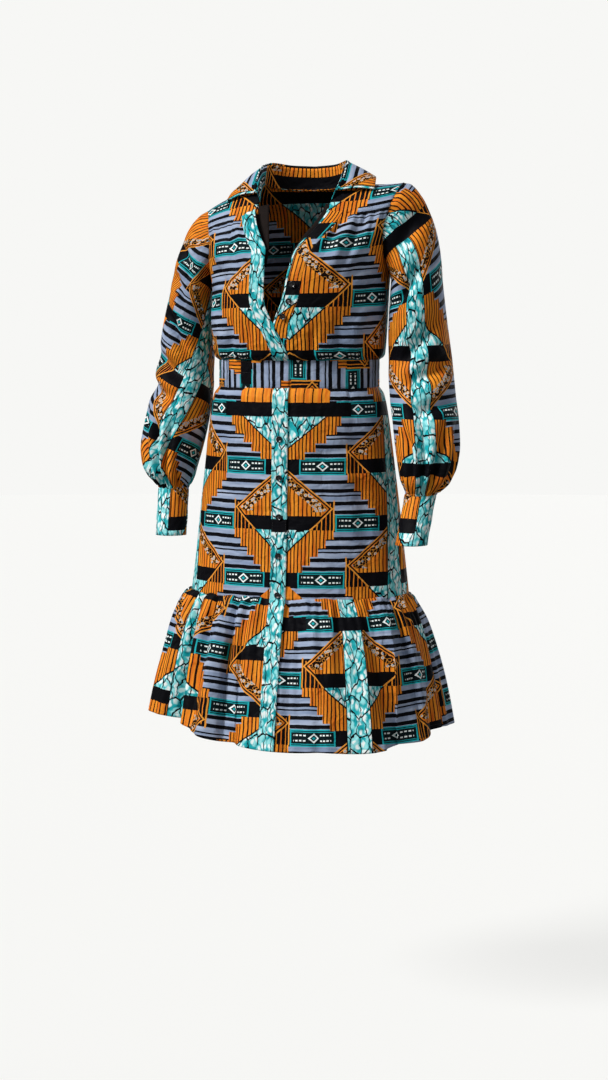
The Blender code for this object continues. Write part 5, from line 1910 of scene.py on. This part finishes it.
class DressColours(PropertyGroup):
    """The colours of the print, the facings, the buttons, the thread and the stage."""

    orange: colour_property("Orange", "The pinstriped bands", "#F5982B")
    deep_orange: colour_property("Deep orange", "Shading in the orange", "#D8661A")
    tan: colour_property("Tan", "The thin lines round the diamonds", "#E8993A")
    brown_black: colour_property("Brown black", "Pinstripes and the bed of the pebbles", "#170B08")
    black: colour_property("Black", "Bars and blocks", "#06060B")
    grey_blue: colour_property("Grey blue", "The bars of the ground", "#8797B4")
    lavender: colour_property("Lavender", "Streaks in the ground's bars", "#B4C0D6")
    teal: colour_property("Teal", "The crackle ground", "#20AEB6")
    pale_teal: colour_property("Pale teal", "Wax bubbles in the crackle", "#9CE8EA")
    deep_teal: colour_property("Deep teal", "Deeper dye in the crackle", "#0A6B73")
    deep_green: colour_property("Deep green", "The panels' ground", "#06181B")
    white: colour_property("White", "The palest wax bubbles", "#F2FAF8")
    pebble: colour_property("Pebble", "The pale pebbles in the edging", "#CFC5B4")
    facing: colour_property("Facing", "The dark facings", "#17110F")
    facing_fade: colour_property("Facing fade", "Worn places on the facings", "#2E2522")
    button: colour_property("Button", "The buttons", "#0B0B0C")
    button_cloud: colour_property("Button clouding", "Grey clouds in the buttons", "#1D1C1E")
    thread: colour_property("Thread", "The sewing thread", "#16130F")
    # The thread's painted highlight on its raised ply, over the darker thread colour that stands as
    # painted shade in the grooves.
    thread_light: colour_property("Thread painted highlight", "The thread's raised ply", "#3A342C")
    floor: colour_property("Floor", "The studio floor", "#6E6E6C")
    backdrop: colour_property("Backdrop", "The bright surround", "#F7F7F5")


def chosen_colours(context):
    """The add-on's colours by name."""
    group = context.scene.dress_colours
    return {name: tuple(getattr(group, name)) for name in DressColours.__annotations__}


def prepared(context):
    """Makes the materials, the first time, and gives the dress's sizes."""
    if not FINISHES:
        colours = chosen_colours(context)
        FINISHES.update({
            "wax_print_cotton": wax_print_cotton(colours),
            "teal_print_cotton": teal_print_cotton(colours),
            "dark_facing_cotton": dark_facing_cotton(colours),
            "black_button_plastic": black_polyester(colours),
            "thread": polyester_thread(colours),
        })
    return context.scene.dress_sizes


class Undoable:
    """What the operators share: each can be undone."""

    bl_options = {"REGISTER", "UNDO"}


class DRESS_OT_stage(Undoable, Operator):
    """Makes the floor, the lights and the camera"""

    bl_idname = "dress.stage"
    bl_label = "Stage"

    def execute(self, context):
        make_stage(context.scene.dress_sizes, chosen_colours(context))
        return {"FINISHED"}


class DRESS_OT_bodice(Undoable, Operator):
    """Makes the two gathered fronts, the yokes and the back"""

    bl_idname = "dress.bodice"
    bl_label = "Bodice and yokes"

    def execute(self, context):
        make_bodice(prepared(context))
        return {"FINISHED"}


class DRESS_OT_bands(Undoable, Operator):
    """Makes the bodice placket, the button band and the neck facings"""

    bl_idname = "dress.bands"
    bl_label = "Front bands and facings"

    def execute(self, context):
        make_bands(prepared(context))
        make_facings()
        return {"FINISHED"}


class DRESS_OT_collar(Undoable, Operator):
    """Makes the collar's stand and leaf"""

    bl_idname = "dress.collar"
    bl_label = "Collar"

    def execute(self, context):
        prepared(context)
        make_collar()
        return {"FINISHED"}


class DRESS_OT_waistband(Undoable, Operator):
    """Makes the waistband"""

    bl_idname = "dress.waistband"
    bl_label = "Waistband"

    def execute(self, context):
        make_waistband(prepared(context))
        return {"FINISHED"}


class DRESS_OT_skirt(Undoable, Operator):
    """Makes the skirt's fronts and back, and its long placket"""

    bl_idname = "dress.skirt"
    bl_label = "Skirt"

    def execute(self, context):
        make_skirt(prepared(context))
        make_skirt_placket()
        return {"FINISHED"}


class DRESS_OT_flounce(Undoable, Operator):
    """Makes the gathered flounce round the hem"""

    bl_idname = "dress.flounce"
    bl_label = "Flounce"

    def execute(self, context):
        make_flounce(prepared(context))
        return {"FINISHED"}


class DRESS_OT_sleeves(Undoable, Operator):
    """Makes the sleeves and their cuffs"""

    bl_idname = "dress.sleeves"
    bl_label = "Sleeves and cuffs"

    def execute(self, context):
        make_sleeves(prepared(context))
        make_cuffs()
        return {"FINISHED"}


class DRESS_OT_buttons(Undoable, Operator):
    """Makes the buttons, with their holes and thread"""

    bl_idname = "dress.buttons"
    bl_label = "Buttons"

    def execute(self, context):
        prepared(context)
        make_buttons()
        return {"FINISHED"}


class DRESS_OT_stitching(Undoable, Operator):
    """Sews the visible rows of stitching onto the pieces made before"""

    bl_idname = "dress.stitching"
    bl_label = "Stitching"

    def execute(self, context):
        make_stitching(prepared(context))
        return {"FINISHED"}


OPERATORS = (DRESS_OT_stage, DRESS_OT_bodice, DRESS_OT_bands, DRESS_OT_collar,
             DRESS_OT_waistband, DRESS_OT_skirt, DRESS_OT_flounce, DRESS_OT_sleeves,
             DRESS_OT_buttons, DRESS_OT_stitching)


class DRESS_PT_panel(Panel):
    """Lists the dress's operators, sizes and colours"""

    bl_idname = "DRESS_PT_panel"
    bl_label = "Wax print shirt dress"
    bl_space_type = "VIEW_3D"
    bl_region_type = "UI"
    bl_category = "Dress"

    def draw(self, context):
        for operator in OPERATORS:
            self.layout.operator(operator.bl_idname)
        for group in (context.scene.dress_sizes, context.scene.dress_colours):
            box = self.layout.box()
            for name in type(group).__annotations__:
                box.prop(group, name)


CLASSES = (DressSizes, DressColours, *OPERATORS, DRESS_PT_panel)


def register():
    for made in CLASSES:
        bpy.utils.register_class(made)
    bpy.types.Scene.dress_sizes = PointerProperty(type=DressSizes)
    bpy.types.Scene.dress_colours = PointerProperty(type=DressColours)


def unregister():
    del bpy.types.Scene.dress_sizes
    del bpy.types.Scene.dress_colours
    for made in reversed(CLASSES):
        bpy.utils.unregister_class(made)


def main():
    register()
    for operator in OPERATORS:
        _, name = operator.bl_idname.split(".")
        getattr(bpy.ops.dress, name)()


if __name__ == "__main__":
    main()
